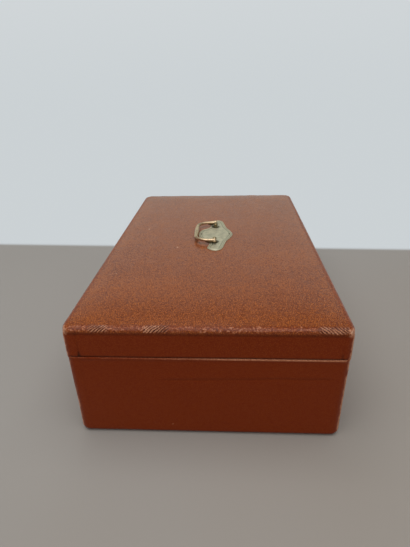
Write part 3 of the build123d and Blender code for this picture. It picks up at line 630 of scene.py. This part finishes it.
def makeLidLeather():
    halfX, halfY = lidHigh.x, lidHigh.y
    shoulder, roundness = covering["shoulderRadius"], covering["rimRound"]
    xLines, yLines, outline = coverColumns(halfX, halfY, covering["stepY"])
    rimZ, foot = lidLow.z, lidEdge - shoulder
    insets = [halfY - abs(y) for y in (liningY, strikeHigh.y, strikeLow.y)]
    rows = [(inset, rimZ) for inset in (*insets[:2], *covering["rimRows"], insets[2])]
    rows += arcRows((roundness, rimZ + roundness), roundness, -90, 0, 4)
    marks = [seamZ + covering["leafRoom"]]
    rows += [(0, z) for z in sideLines(rimZ + roundness, foot, covering["stepZ"], marks)[1:-1]]
    rows += arcRows((shoulder, foot), shoulder, 0, covering["shoulderTurn"], covering["shoulderSteps"])
    rows += [(inset, None) for inset in (*covering["topRows"], covering["cornerRadius"])]

    def slope(distance):
        return 1 - math.exp(-max(0, distance - shoulder) / covering["crownSlope"])

    def crownHeight(x, y):
        return lidEdge + covering["crown"] * slope(halfX - abs(x)) * slope(halfY - abs(y))

    def placeOf(column, row):
        x, y = drawnIn(column, row[0], halfX, halfY)
        return (x, y, crownHeight(x, y) if row[1] is None else row[1])

    def isCut(middle):
        onRim = middle.z < rimZ + 0.05 * mm
        strike = onRim and abs(middle.x) < strikeHigh.x and strikeLow.y < middle.y < strikeHigh.y
        return strike or leafCut(middle)

    def build(form):
        sheetFaces(form, rows, outline, placeOf, isCut)
        every = range(len(yLines))
        coarse = [*every[:-1:4], every[-1]]       # the fine lines are kept at the ends alone
        columns = [{j: form.verts.new((x, yLines[j], crownHeight(x, yLines[j])))
                    for j in (every if x in (xLines[0], xLines[-1]) else coarse)} for x in xLines]
        for left, right in zip(columns, columns[1:]):
            for start, end in zip(coarse, coarse[1:]):
                nearSide = [right[j] for j in range(start, end + 1) if j in right]
                farSide = [left[j] for j in range(end, start, -1) if j in left]
                form.faces.new([left[start], *nearSide, *farSide])
        shapeLeather(form, lidRelief)

    return finishCover("lidCover", build, "lid", "lid_leather")


def uprightEdge(dx, dy):
    # 1 along an upright corner, falling to 0 on the faces beside it
    inward, along = sorted((dx, dy))
    return fadeOut(1.5 * mm, 5 * mm, inward) * fadeOut(3 * mm, 13 * mm, along)


def edgeWearAndSheen(x, y, z, dx, dy):
    # 1 on the rounding of an upright corner, towards the long faces, with ragged sides: wear with a painted
    # sheen line
    ragged = covering["ragged"] * wander(x, y, z, 4.5 * mm, 6.6)
    dx, dy = dx + ragged, dy + ragged
    return fadeOut(2.0 * mm, 4.4 * mm, dy) * smoothStep(0.5 * mm, 1.8 * mm, dx) * fadeOut(5 * mm, 9 * mm, dx)


def gathering(x, along, atEnd):
    # Where the leather is gathered into puckers along the top edge, from 0 to 1
    if atEnd and x > 0:
        return max(fadeOut(half - 4 * mm, half + 3 * mm, abs(along - middle))
                   for middle, half in covering["gathers"])
    return (1 if atEnd else 0.3) * smoothStep(0.0, 0.4, wander(along, x, 0, 17 * mm, 3.1))


def lapStep(y, height):
    # Step of the overlaps near the upright corners of the near end, and a painted shade line in their gaps
    front, back = covering["frontLap"] - y, y - covering["backLap"]
    lifted = smoothStep(0, 0.8 * mm, front) + 0.6 * smoothStep(0, 0.8 * mm, back)
    opening = 1.1 * mm + 1.3 * mm * fadeOut(0, 9 * mm, height)
    line = 0.85 * bump(front, opening) + 0.45 * bump(back, opening)
    line *= 1 - 0.85 * smoothStep(3 * mm, 9 * mm, height)
    return covering["lap"] * (lifted - 0.5 * line), line


def lidRelief(point):
    # Lift of the leather, then its wear with painted highlights, its painted shade and how smooth it is
    x, y, z = point
    foot = lidEdge - covering["shoulderRadius"]
    dx, dy = lidHigh.x - abs(x), lidHigh.y - abs(y)
    edge = min(dx, dy)
    atEnd = dx < dy
    along = y if atEnd else x
    lean = covering["slant"] * (-1 if along < 0 else 1)
    lift = covering["slack"] * wander(x, y, z, 24 * mm)
    onShoulder = smoothStep(foot - 0.5 * mm, foot + 2.5 * mm, z) * fadeOut(4.0 * mm, 7.0 * mm, edge)
    gathered = gathering(x, along, atEnd)
    pitch = covering["puckerPitch"] * (1 if atEnd else covering["longPitch"])
    slanted = along + lean * (max(0, z - foot) + edge)
    phase = 2 * math.pi * slanted / pitch + 1.9 * wander(x, y, z, 7 * mm, 1.7)
    crest = (0.5 + 0.5 * math.sin(phase)) ** 1.4
    lumpy = wander(x, y, z, covering["lump"], 5.2)
    lift += covering["pucker"] * onShoulder * gathered * (crest - 0.5)
    lift += covering["lumps" if atEnd else "longLumps"] * onShoulder * (1 - gathered) * lumpy
    # painted shade in the pucker troughs and lump hollows
    paintedShade = onShoulder * (gathered * (1 - crest) ** 2 + 0.35 * (1 - gathered) * max(0, -2 * lumpy))
    paintedShade *= 1 if atEnd else 0.4
    # painted shade in the hollow under the shoulder
    if edge < 2 * mm:
        hollow = bump(z - foot + 0.8 * mm, 2.0 * mm) * (0.8 + 0.5 * wander(x, y, z, 5 * mm, 9.1))
        paintedShade += covering["shoulderShade"] * hollow
    if x > lidHigh.x - 1 * mm and z < foot + 2 * mm:
        step, line = lapStep(y, z - lidLow.z)
        lift += step
        # painted shade in the overlap's gap
        paintedShade += line
    # painted shade along the seam under the lid's edge
    if edge < 1 * mm:
        paintedShade += covering["seamShade"] * fadeOut(0.2 * mm, 1.8 * mm, z - lidLow.z)
    corner = bump(math.hypot(max(0, dx - 3 * mm), max(0, dy - 3 * mm)), 7 * mm)
    tip = smoothStep(foot - 5 * mm, foot + 2 * mm, z)
    lift -= covering["droop"] * bump(math.hypot(dx, dy), 13 * mm) * tip
    curl = corner * tip * (0.75 + 0.9 * wander(x, y, z, 2.2 * mm, 4.4)) * uprightEdge(dx, dy)
    # wear on the pucker crests and lumps, with painted highlight on the crests
    wearAndSheen = onShoulder * (0.27 + 1.15 * gathered * crest + 0.8 * (1 - 0.6 * gathered) * lumpy)
    wearAndSheen *= 0.9 + 0.6 * wander(x, y, z, 9 * mm, 8.4)
    # painted sheen along the rounded long edges of the lid; the puckers' wear is weaker there
    if not atEnd:
        longEdgeSheen = smoothStep(foot - 1 * mm, foot + 3 * mm, z) * bump(edge - 2 * mm, 7 * mm)
        wearAndSheen = max(0.4 * wearAndSheen, 0.20 * longEdgeSheen)
    edgeLine = edgeWearAndSheen(x, y, z, dx, dy) * (0.82 + 0.8 * wander(x, y, z, 6 * mm, 1.3))
    smooth = max(fadeOut(foot - 2 * mm, foot + 3 * mm, z), 0.45 * onShoulder)
    wearAndSheen = max(wearAndSheen, covering["tipWear"] * curl, covering["cornerWearAndSheen"] * edgeLine)
    return lift, wearAndSheen, paintedShade, smooth


lidCover = makeLidLeather()
print("lid covered:", len(lidCover.data.polygons), "faces")


def makeBodyLeather():
    halfX, halfY = bodyHigh.x, bodyHigh.y
    outline = coverColumns(halfX, halfY, covering["bodyStepY"])[2]
    rimZ, roundness, foot = bodyHigh.z, covering["rimRound"], covering["footRadius"]
    underZ = bodyLow.z
    rows = [(inset, underZ) for inset in sideLines(foot, covering["turnUnder"], 4 * mm)[:0:-1]]
    rows += arcRows((foot, underZ + foot), foot, -90, 0, 8)
    marks = [seamZ - covering["leafRoom"]]
    rows += [(0, z) for z in sideLines(underZ + foot, rimZ - roundness, covering["bodyStepZ"], marks)[1:-1]]
    rows += arcRows((roundness, rimZ - roundness), roundness, 0, 90, 6)
    selvedge, innermost = halfY - abs(selvedgeLow.y) + 0.2 * mm, halfY - abs(linerY)
    rows += [(inset, rimZ) for inset in (selvedge, *covering["rimRows"][::-1], innermost)]

    def placeOf(column, row):
        return (*drawnIn(column, row[0], halfX, halfY), row[1])

    def isCut(middle):
        onRim = middle.z > rimZ - 0.05 * mm
        lock = onRim and abs(middle.x) < selvedgeHigh.x and selvedgeLow.y < middle.y < linerY
        return lock or leafCut(middle)

    def build(form):
        sheetFaces(form, rows, outline, placeOf, isCut)
        shapeLeather(form, bodyRelief)

    return finishCover("bodyCover", build, "chest", "base_leather")


def bodyRelief(point):
    # Lift of the leather, then its wear with painted highlights, its painted shade and how smooth it is
    x, y, z = point
    dx, dy = bodyHigh.x - abs(x), bodyHigh.y - abs(y)
    edge = min(dx, dy)
    depth = bodyHigh.z - z
    lift = covering["slack"] * wander(x, y, z, 28 * mm, 4.0) * smoothStep(1 * mm, 8 * mm, z)
    lip = fadeOut(1.6 * mm, 3.0 * mm, depth) * smoothStep(0.0, 0.5 * mm, depth)
    lift += covering["lipBulge"] * lip
    paintedShade = scuffed = 0.0
    # wear and painted highlight along the body's rounded lip under the seam
    lipWearAndHighlight = covering["lipWearAndHighlight"] * fadeOut(0.9 * mm, 2.2 * mm, depth) * fadeOut(0.5 * mm, 2.0 * mm, edge)
    if x > bodyHigh.x - 1 * mm:
        start, end = covering["creaseEnds"]
        reach = smoothStep(start, start + 20 * mm, y) * fadeOut(end - 10 * mm, end, y)
        wave = 0.9 * mm * wander(0, y, 0, 40 * mm) + 0.02 * (y - start)
        groove = bump(z - covering["creaseHeight"] - wave, 1.7 * mm) * reach
        lift -= covering["creaseDepth"] * groove
        # painted shade in the groove
        paintedShade += 0.22 * groove
        step, line = lapStep(y, depth + 6 * mm)
        lift += 0.8 * step * (1 - lip)
        # painted shade in the overlap's gap
        paintedShade += 0.5 * line * smoothStep(2 * mm, 4 * mm, depth)
        broken = bump(y - covering["frontLap"] - 11 * mm, 7 * mm)
        lipWearAndHighlight *= (1 - 0.9 * broken) * (0.55 + 0.75 * smoothStep(-90 * mm, 60 * mm, y))
        scuffY, scuffZ, scuffSize = covering["scuff"]
        scuffed = 0.8 * bump(math.hypot(y - scuffY, z - scuffZ), scuffSize)
    foot = fadeOut(1 * mm, 6 * mm, z) * fadeOut(2 * mm, 5 * mm, edge)
    edgeLine = covering["bodyCornerWearAndSheen"] * edgeWearAndSheen(x, y, z, dx, dy)
    wearAndSheen = max(edgeLine, 0.16 * foot, 0.6 * uprightEdge(dx, dy) * foot)
    wearAndSheen *= 0.82 + 0.8 * wander(x, y, z, 7 * mm, 2.4)
    lift -= covering["bodyDroop"] * bump(math.hypot(dx, dy), 13 * mm) * smoothStep(4 * mm, 60 * mm, depth)
    return lift, max(wearAndSheen, lipWearAndHighlight, scuffed), paintedShade, 1.0


bodyCover = makeBodyLeather()
print("body covered:", len(bodyCover.data.polygons), "faces")

# Handle: a thin cartouche plate with a raised border, and a drop bail between two posts
plateShape = {
    "backShares": ((0, 1), (0.24, 0.86), (0.43, 0.66), (0.65, 0.55), (0.93, 0.38), (1, 0.03)),
    "frontShares": ((0.87, -0.37), (0.62, -0.28), (0.41, -0.46), (0.31, -0.76), (0.17, -0.93), (0, -1)),
    "pointsPerSpan": 10,
    "profile": ((0, 0), (0, 0.70), (0.10, 0.90), (0.35, 1.08), (0.80, 1.14), (1.20, 1.06), (1.50, 0.80),
                (1.80, 0.92), (2.20, 1.38), (2.65, 1.52), (3.10, 1.38), (3.45, 1.02), (3.8, 0.86),
                (4.6, 0.98), (5.6, 1.02)),   # inset and height in mm
    "grooves": ((1.5, 0.5), (3.8, 0.7)),      # inset and half width in mm
    "beads": ((0.7, 0.6), (2.65, 0.7)),
    "sag": 0.10 * mm,         # how unevenly the thin plate lies
}
bailShape = {
    "bend": 16 * mm,
    "arm": 1.75 * mm,
    "shoulder": 1.95 * mm,
    "grip": 2.75 * mm,
    "flat": 0.80,             # height of the grip's section over its width
    "sides": 20,
    "armSteps": 8,
    "bendSteps": 9,
    "gripSteps": 10,
    "knob": ((-2.3, 0.0), (-2.3, 1.3), (-2.0, 1.7), (-1.65, 1.7), (-1.45, 1.30), (-1.25, 1.30), (-1.0, 1.8),
             (-0.4, 2.2), (0.3, 2.25), (0.9, 1.9), (1.2, 1.2), (1.45, 1.0), (1.7, 1.15), (2.2, 1.75),
             (2.9, 2.0), (3.6, 1.8), (4.1, 1.2), (4.3, 0.65), (4.6, 0.7), (4.85, 0.45),
             (4.95, 0.0)),    # along the pivot and radius, in mm
    "pin": 1.2,               # radius in mm
    "scroll": ((-13.0, 0.3, 0.6), (-11.2, -0.7, 1.0), (-9.2, -1.7, 1.25), (-7.2, -2.45, 1.2),
               (-5.3, -2.65, 1.1), (-3.7, -2.3, 1.0), (-3.0, -1.4, 0.9), (-3.7, -0.6, 0.85),
               (-4.9, -0.8, 0.9)),    # y, z and radius in mm
    "scrollSides": 12,
}
bailJoint = next(joint for joint in frame["record"]["behaviour"]["joints"] if joint["name"] == "bail_swing")
pivot = Vector(bailJoint["pos_m"])


def smoothLine(points, perSpan, closed=False):
    # Points along a smooth curve through the given points
    count = len(points)
    line = []
    for i in range(count if closed else count - 1):
        steps = [(i + step) % count if closed else min(count - 1, max(0, i + step)) for step in (-1, 0, 1, 2)]
        before, start, end, after = (points[step] for step in steps)
        for j in range(perSpan):
            t = j / perSpan
            square = 2 * before - 5 * start + 4 * end - after
            cube = 3 * start - before - 3 * end + after
            line.append(0.5 * (2 * start + (end - before) * t + square * t ** 2 + cube * t ** 3))
    return line if closed else line + [points[-1]]


def plateOutline(low, high):
    # Outline of the plate with its outward directions
    half, peak, nose = high.x - pivot.x, high.y - pivot.y, pivot.y - low.y
    shares = [*plateShape["backShares"], *plateShape["frontShares"]]
    right = [Vector((x * half, y * (peak if y > 0 else nose))) for x, y in shares]
    left = [Vector((-point.x, point.y)) for point in reversed(right[1:-1])]
    line = smoothLine(right + left, plateShape["pointsPerSpan"], True)
    outline = []
    for before, point, after in zip(line[-1:] + line[:-1], line, line[1:] + line[:1]):
        way = (after - before).normalized()
        outline.append((point, Vector((-way.y, way.x))))
    return outline


def makePlate():
    low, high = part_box("handle_plate")
    outline = plateOutline(low, high)

    def build(form):
        rings = []
        for inset, height in plateShape["profile"]:
            ring = []
            for point, out in reversed(outline):
                x, y = point - out * inset * mm
                rise = height * mm + plateShape["sag"] * wander(x, y, 0, 16 * mm, 2.3) * min(1, inset)
                ring.append(form.verts.new((pivot.x + x, pivot.y + y, low.z + rise)))
            rings.append(ring)
        bridge(form, rings)
        form.faces.new(rings[-1])
        form.faces.new(rings[0][::-1])
        bmesh.ops.triangulate(form, faces=[face for face in form.faces if len(face.verts) > 4])
        bmesh.ops.recalc_face_normals(form, faces=form.faces)
        layers = [(form.verts.layers.float.new(layer), plateShape[key]) for layer, key in
                  (("wearAndPaintedLight", "grooves"), ("polish", "beads"))]
        for vert in form.verts:
            edge = min((vert.co.xy - pivot.xy - point).length for point, out in outline)
            for layer, strips in layers:
                vert[layer] = max(bump(edge - inset * mm, 1.6 * half * mm) for inset, half in strips)

    mesh = solidMesh("handlePlate", build, 40)
    return newPiece("handlePlate", mesh, "lid", "tarnished_plate", "handle_plate")


def ringFrames(points):
    # Directions across a line of points, carried along without twisting
    frames, side = [], None
    for i, point in enumerate(points):
        way = (points[min(i + 1, len(points) - 1)] - points[max(i - 1, 0)]).normalized()
        if side is None:
            side = way.orthogonal() if abs(way.z) > 0.9 else way.cross(Vector((0, 0, 1)))
        side = (side - way * side.dot(way)).normalized()
        frames.append((side, way.cross(side)))
    return frames


def ringAround(form, middle, side, up, radius, sides, flat=1):
    # Ring of points in the plane of two directions; flat is its height over its width
    turns = [2 * math.pi * k / sides for k in range(sides)]
    return [form.verts.new(middle + radius * (math.cos(turn) * side + flat * math.sin(turn) * up))
            for turn in turns]


def tube(form, points, radii, sides, flat=None):
    # Closed tube along the points; flat gives each section's height over its width
    rings = [ringAround(form, point, side, up, radius, sides, share) for point, (side, up), radius, share
             in zip(points, ringFrames(points), radii, flat or [1] * len(points))]
    bridge(form, rings)
    form.faces.new(rings[0][::-1])
    form.faces.new(rings[-1])


def turned(form, profile, place, way, sides=24):
    # Turned form from (along, radius) pairs in mm; way is 1 or -1 along X
    rings = []
    for along, radius in profile:
        middle = place + Vector((way * along * mm, 0, 0))
        rings.append(ringAround(form, middle, Vector((0, 1, 0)), Vector((0, 0, 1)), radius * mm, sides)
                     if radius else [form.verts.new(middle)])
    bridge(form, rings)


def makeBail():
    low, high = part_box("bail")
    postLow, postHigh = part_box("handle_post_near")
    knobRadius, gripRadius = high.y - pivot.y, pivot.z - low.z
    arm = high.x - knobRadius - pivot.x
    reach = pivot.y - low.y - gripRadius
    bend, straight = bailShape["bend"], reach - bailShape["bend"]

    def halfLine():
        # From the near pivot down the arm and round the bend to the middle of the grip
        armSteps, bendSteps, gripSteps = (bailShape[key] for key in ("armSteps", "bendSteps", "gripSteps"))
        line = [Vector((arm, -straight * i / armSteps)) for i in range(armSteps + 1)]
        for i in range(1, bendSteps + 1):
            turn = math.radians(90 * i / bendSteps)
            line.append(Vector((arm - bend + bend * math.cos(turn), -straight - bend * math.sin(turn))))
        return line + [Vector(((arm - bend) * (1 - i / gripSteps), -reach)) for i in range(1, gripSteps + 1)]

    def build(form):
        near = halfLine()
        line = near + [Vector((-point.x, point.y)) for point in reversed(near[:-1])]
        points = [Vector((pivot.x + point.x, pivot.y + point.y, pivot.z)) for point in line]
        radii, flat = [], []
        for point in line:
            inGrip = fadeOut(0, arm - 0.35 * bend, abs(point.x)) if point.y < -straight else 0
            nearPivot = fadeOut(0, 9 * mm, -point.y)
            radius = bailShape["arm"] + (bailShape["grip"] - bailShape["arm"]) * inGrip
            radii.append(radius + (bailShape["shoulder"] - bailShape["arm"]) * nearPivot)
            flat.append(1 - (1 - bailShape["flat"]) * inGrip)
        tube(form, points, radii, bailShape["sides"], flat)
        pinEnd = (postLow.x + postHigh.x) / 2 - pivot.x - 0.7 * (postHigh.x - postLow.x) / 2
        length = (pinEnd - arm) / mm
        pin = ((length, 0), (length, bailShape["pin"]), (-2, bailShape["pin"]), (-2, 0))
        scroll = smoothLine([Vector((radius, y, z)) * mm for y, z, radius in bailShape["scroll"]], 6)
        for way in (-1, 1):
            place = Vector((pivot.x + way * arm, pivot.y, pivot.z))
            turned(form, bailShape["knob"], place, way)
            turned(form, pin, place, way)
            curl = [place + Vector((0, point.y, point.z)) for point in scroll]
            tube(form, curl, [point.x for point in scroll], bailShape["scrollSides"])
        bmesh.ops.recalc_face_normals(form, faces=form.faces)
        # tarnish and painted shade: the bail darker on its underside, most along the arms, knobs and scrolls
        wearAndPaintedLight = form.verts.layers.float.new("wearAndPaintedLight")
        for vert in form.verts:
            ornament = fadeOut(12 * mm, 15 * mm, pivot.y - vert.co.y)
            vert[wearAndPaintedLight] = smoothStep(0.2 * mm, 1.1 * mm, pivot.z - vert.co.z) * (0.45 + 0.55 * ornament)

    return newPiece("bailHandle", solidMesh("bailHandle", build, 38), "bail", "gilt_brass", "bail")


makePlate()
makeBail()
print("handle made")

# Satin pad inside the lid, swelled by pressure from a flat back
padShape = {
    "cell": 5 * mm,
    "edge": 4.5 * mm,         # thickness at its sides
    "slope": 14 * mm,         # how far in from its sides it is full
    "swell": 0.45,            # share of the crown before the pressure
    "frames": 20,
    "mostMoved": 3.4 * mm,
    "clear": 0.4 * mm,        # inside its space on every side
    "pleat": 0.22 * mm,
    "pleatPitch": 6.5 * mm,
    "pleatReach": 15 * mm,
    "satin": {"quality": 6, "mass": 0.15, "tension_stiffness": 12, "compression_stiffness": 6,
              "shear_stiffness": 4, "bending_stiffness": 0.25, "use_pressure": True,
              "uniform_pressure_force": 4.0, "shrink_min": -0.035},     # cut 3.5% too large
}


def padHeight(x, y, low, high, share):
    # Height of the satin's face, which bulges downwards from its edge
    rim = high.z - padShape["edge"]
    inward = min(high.x - abs(x), high.y - abs(y))
    return rim - share * (rim - low.z) * (1 - math.exp(-max(0, inward) / padShape["slope"]))


def padMesh(low, high, share):
    # Closed pad: a grid for its back, a grid for its face and a strip round its sides
    xLines = sideLines(low.x, high.x, padShape["cell"])
    yLines = sideLines(low.y, high.y, padShape["cell"])

    def build(form):
        back = [[form.verts.new((x, y, high.z)) for x in xLines] for y in yLines]
        face = [[form.verts.new((x, y, padHeight(x, y, low, high, share))) for x in xLines] for y in yLines]
        for grid in (back, face):
            for lower, upper in zip(grid, grid[1:]):
                for i in range(len(xLines) - 1):
                    form.faces.new((lower[i], lower[i + 1], upper[i + 1], upper[i]))
        rims = [grid[0] + [row[-1] for row in grid[1:]] + grid[-1][-2::-1] + [row[0] for row in grid[-2:0:-1]]
                for grid in (back, face)]
        for i in range(len(rims[0])):
            following = (i + 1) % len(rims[0])
            form.faces.new((rims[0][i], rims[0][following], rims[1][following], rims[1][i]))
        bmesh.ops.recalc_face_normals(form, faces=form.faces)

    return solidMesh("satinPad", build, 60)


def swell(mesh, low, high):
    # Lets the satin fill under pressure, with its back held, and keeps it in its space
    scene = bpy.context.scene
    carrier = placed("padCarrier", mesh)
    held = carrier.vertex_groups.new(name="held")
    held.add([vert.index for vert in mesh.vertices if vert.co.z > high.z - 0.5 * mm], 1.0, "REPLACE")
    cloth = carrier.modifiers.new("Cloth", "CLOTH")
    for key, value in padShape["satin"].items():
        setattr(cloth.settings, key, value)
    cloth.settings.vertex_group_mass = held.name
    cloth.settings.effector_weights.gravity = 0
    cloth.collision_settings.use_collision = False
    cloth.collision_settings.use_self_collision = False
    cloth.point_cache.frame_start = 1
    cloth.point_cache.frame_end = padShape["frames"]
    for step in range(1, padShape["frames"] + 1):
        scene.frame_set(step)
    filled = taken(carrier)
    clear = padShape["clear"]
    for start, vert in zip(mesh.vertices, filled.vertices):
        move = vert.co - start.co
        if move.length > padShape["mostMoved"]:
            move *= padShape["mostMoved"] / move.length
        place = start.co + move
        for axis in range(3):
            place[axis] = min(high[axis] - clear * (axis < 2), max(low[axis] + clear, place[axis]))
        vert.co = place
    scene.frame_set(1)
    return filled


def pleat(mesh, low, high):
    # Small gathers where the satin is drawn over the card's edge
    for vert in mesh.vertices:
        x, y, z = vert.co
        if z > high.z - 1.5 * mm:
            continue
        dx, dy = high.x - abs(x), high.y - abs(y)
        along, inward = (y, dx) if dx < dy else (x, dy)
        fade = fadeOut(0, padShape["pleatReach"], inward) * smoothStep(0.5 * mm, 3 * mm, inward)
        turn = 2 * math.pi * along / padShape["pleatPitch"] + 1.6 * wander(x, y, 0, 22 * mm, 7.7)
        vert.co.z -= padShape["pleat"] * fade * (math.sin(turn) - 0.6)


def makePad():
    low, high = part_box("lid_pad")
    filled = padMesh(low, high, padShape["swell"])
    filled = swell(filled, low, high)
    finished = applied(filled, [("SUBSURF", {"levels": 1, "render_levels": 1})])
    pleat(finished, low, high)
    finished.shade_smooth()
    piece = newPiece("satinPad", finished, "lid", "ivory_satin", "lid_pad")
    return piece


satinPad = makePad()
depths = [vert.co.z for vert in satinPad.data.vertices]
print("pad filled, from", round(min(depths) / mm, 2), "to", round(max(depths) / mm, 2), "mm")

# Edges of the solid pieces, eased the way wood, metal and lined card are
easing = {"green_velvet": 0.55 * mm, "ivory_satin": 0.45 * mm, "carcass_wood": 0.30 * mm,
          "green_baize": 0.25 * mm, "hinge_brass": 0.16 * mm, "lock_steel": 0.18 * mm,
          "gilt_brass": 0.10 * mm}
for row in frame["record"]["subparts"]:
    if row["material_slot"] in easing:
        addModifiers(frame["nodes"][row["node"]], [
            ("WELD", {"merge_threshold": 0.01 * mm}),
            ("BEVEL", {"width": easing[row["material_slot"]], "segments": 2, "limit_method": "ANGLE",
                       "angle_limit": math.radians(40), "use_clamp_overlap": True, "harden_normals": False})])
print("edges eased")

# Floor, backdrop and soft light
studio = {
    "floorColour": (0.375, 0.352, 0.324),
    "farColour": (0.60, 0.64, 0.66),          # floor well behind the chest
    "nearShadeTint": (0.90, 0.83, 0.765),            # painted shade: the table darker and warmer towards the near right
    "farStart": -0.254,
    "farEnd": -0.272,
    "farLean": 0.04,
    "wallLow": (0.60, 0.64, 0.66),
    "wallHigh": (0.67, 0.70, 0.715),
    "wallShade": (0.1, 1.3),                  # heights between the two
    "dimColour": (0.08, 0.08, 0.08),          # of the wall where its reflection has faded
    "wallPlace": -1.9,
    "reach": 9.0,
    "wallHeight": 4.0,
    "lightColour": (0.96, 0.98, 1.0),
    "lightStrength": 0.30,
    "seenColour": (0.64, 0.67, 0.69),
    "glossDrop": 0.11,                        # how much dimmer the open room is in reflections
    "glossColour": (0.62, 0.70, 0.65),        # wall in reflections
    "glossFade": (1.22, 1.44),                # heights over which the wall darkens in reflections
    "lampAim": (0, 0, 0.1),
    "lamps": (
        {"name": "overheadSoftbox", "place": (0.62, -0.1, 2.3), "size": 3.2, "power": 51},
        {"name": "backSoftbox", "place": (-0.9, -0.3, 2.0), "size": 1.0, "power": 3},
    ),
}


def glossyRays(tree):
    return addNode(tree, "LightPath").outputs["Is Glossy Ray"]


def seenShare(tree, gloss):
    # Share of the backdrop's own colour: all of it for the camera, some in reflections
    path = addNode(tree, "LightPath").outputs
    return most(path["Is Camera Ray"], path["Is Transmission Ray"], times(glossyRays(tree), gloss))


def mixed(tree, share, lit, kind, colour):
    # The lit surface mixed with one that shows its own colour
    own = addNode(tree, kind, {"Color": colour, "Strength": 1.0})
    return addNode(tree, "MixShader", {0: share, 1: lit.outputs[0], 2: own.outputs[0]}).outputs[0]


def makeWorld():
    world = bpy.data.worlds.new("studioWorld")
    bpy.context.scene.world = world
    world.use_nodes = True
    tree = world.node_tree
    light = tree.nodes["Background"]
    strength = minus(studio["lightStrength"], times(glossyRays(tree), studio["glossDrop"]))
    setInputs(light, {"Color": studio["lightColour"], "Strength": strength})
    surface = mixed(tree, seenShare(tree, 0.0), light, "Background", studio["seenColour"])
    setInputs(tree.nodes["World Output"], {"Surface": surface})


def makeSheet(name, corners, paint):
    # Sheet of the studio; its paint sets up the shader and gives the share and colour of its glow
    mesh = bpy.data.meshes.new(name)
    mesh.from_pydata(corners, [], [range(4)])
    look, tree, shader, place = newLook(name)
    share, colour = paint(tree, shader, place)
    setInputs(tree.nodes["Material Output"], {"Surface": mixed(tree, share, shader, "Emission", colour)})
    mesh.materials.append(look)
    sheet = placed(name, mesh)


def paintWall(tree, shader, place):
    up = addNode(tree, "SeparateXYZ", {0: place}).outputs["Z"]
    colour = layered(studio["wallLow"], (ramp(up, *studio["wallShade"]), studio["wallHigh"]))
    dimmer = ramp(up, *studio["glossFade"], (1.0, 0.04))
    setInputs(shader, {"Base Color": layered(studio["dimColour"], (dimmer, colour)), "Roughness": 0.9})
    return seenShare(tree, dimmer), layered(colour, (glossyRays(tree), studio["glossColour"]))


def paintFloor(tree, shader, place):
    floorColour = studio["floorColour"]
    axes = addNode(tree, "SeparateXYZ", {0: place}).outputs
    drift = plus(axes["X"], times(axes["Y"], 0.9))
    warmShade = tuple(channel * share for channel, share in zip(floorColour, studio["nearShadeTint"]))
    dulled = tuple(0.97 * channel for channel in floorColour)
    near = layered(floorColour, (ramp(drift, -0.15, 0.45), warmShade), (noiseAt(place, 0.35, 2), dulled))
    along = minus(axes["X"], times(axes["Y"], studio["farLean"]))
    far = ramp(along, studio["farEnd"], studio["farStart"], (1.0, 0.0))
    setInputs(shader, {"Base Color": layered(near, (far, studio["farColour"])), "Roughness": 0.85,
                       "Specular IOR Level": 0.15})
    return times(far, seenShare(tree, 1.0)), studio["farColour"]


def makeBackdrop():
    back, reach, height = studio["wallPlace"], studio["reach"], studio["wallHeight"]
    wall = [(back, -reach, 0), (back, reach, 0), (back, reach, height), (back, -reach, height)]
    floor = [(back, -reach, 0), (reach, -reach, 0), (reach, reach, 0), (back, reach, 0)]
    makeSheet("backWall", wall, paintWall)
    makeSheet("floorSheet", floor, paintFloor)


def makeLamps():
    for lamp in studio["lamps"]:
        data = bpy.data.lights.new(lamp["name"], "AREA")
        data.size = lamp["size"]
        data.energy = lamp["power"]
        light = placed(lamp["name"], data)
        light.location = lamp["place"]
        aim = Vector(studio["lampAim"]) - Vector(lamp["place"])
        light.rotation_euler = aim.to_track_quat("-Z", "Y").to_euler()


makeWorld()
makeBackdrop()
makeLamps()
bpy.context.scene.view_settings.view_transform = "Standard"
print("studio lit")
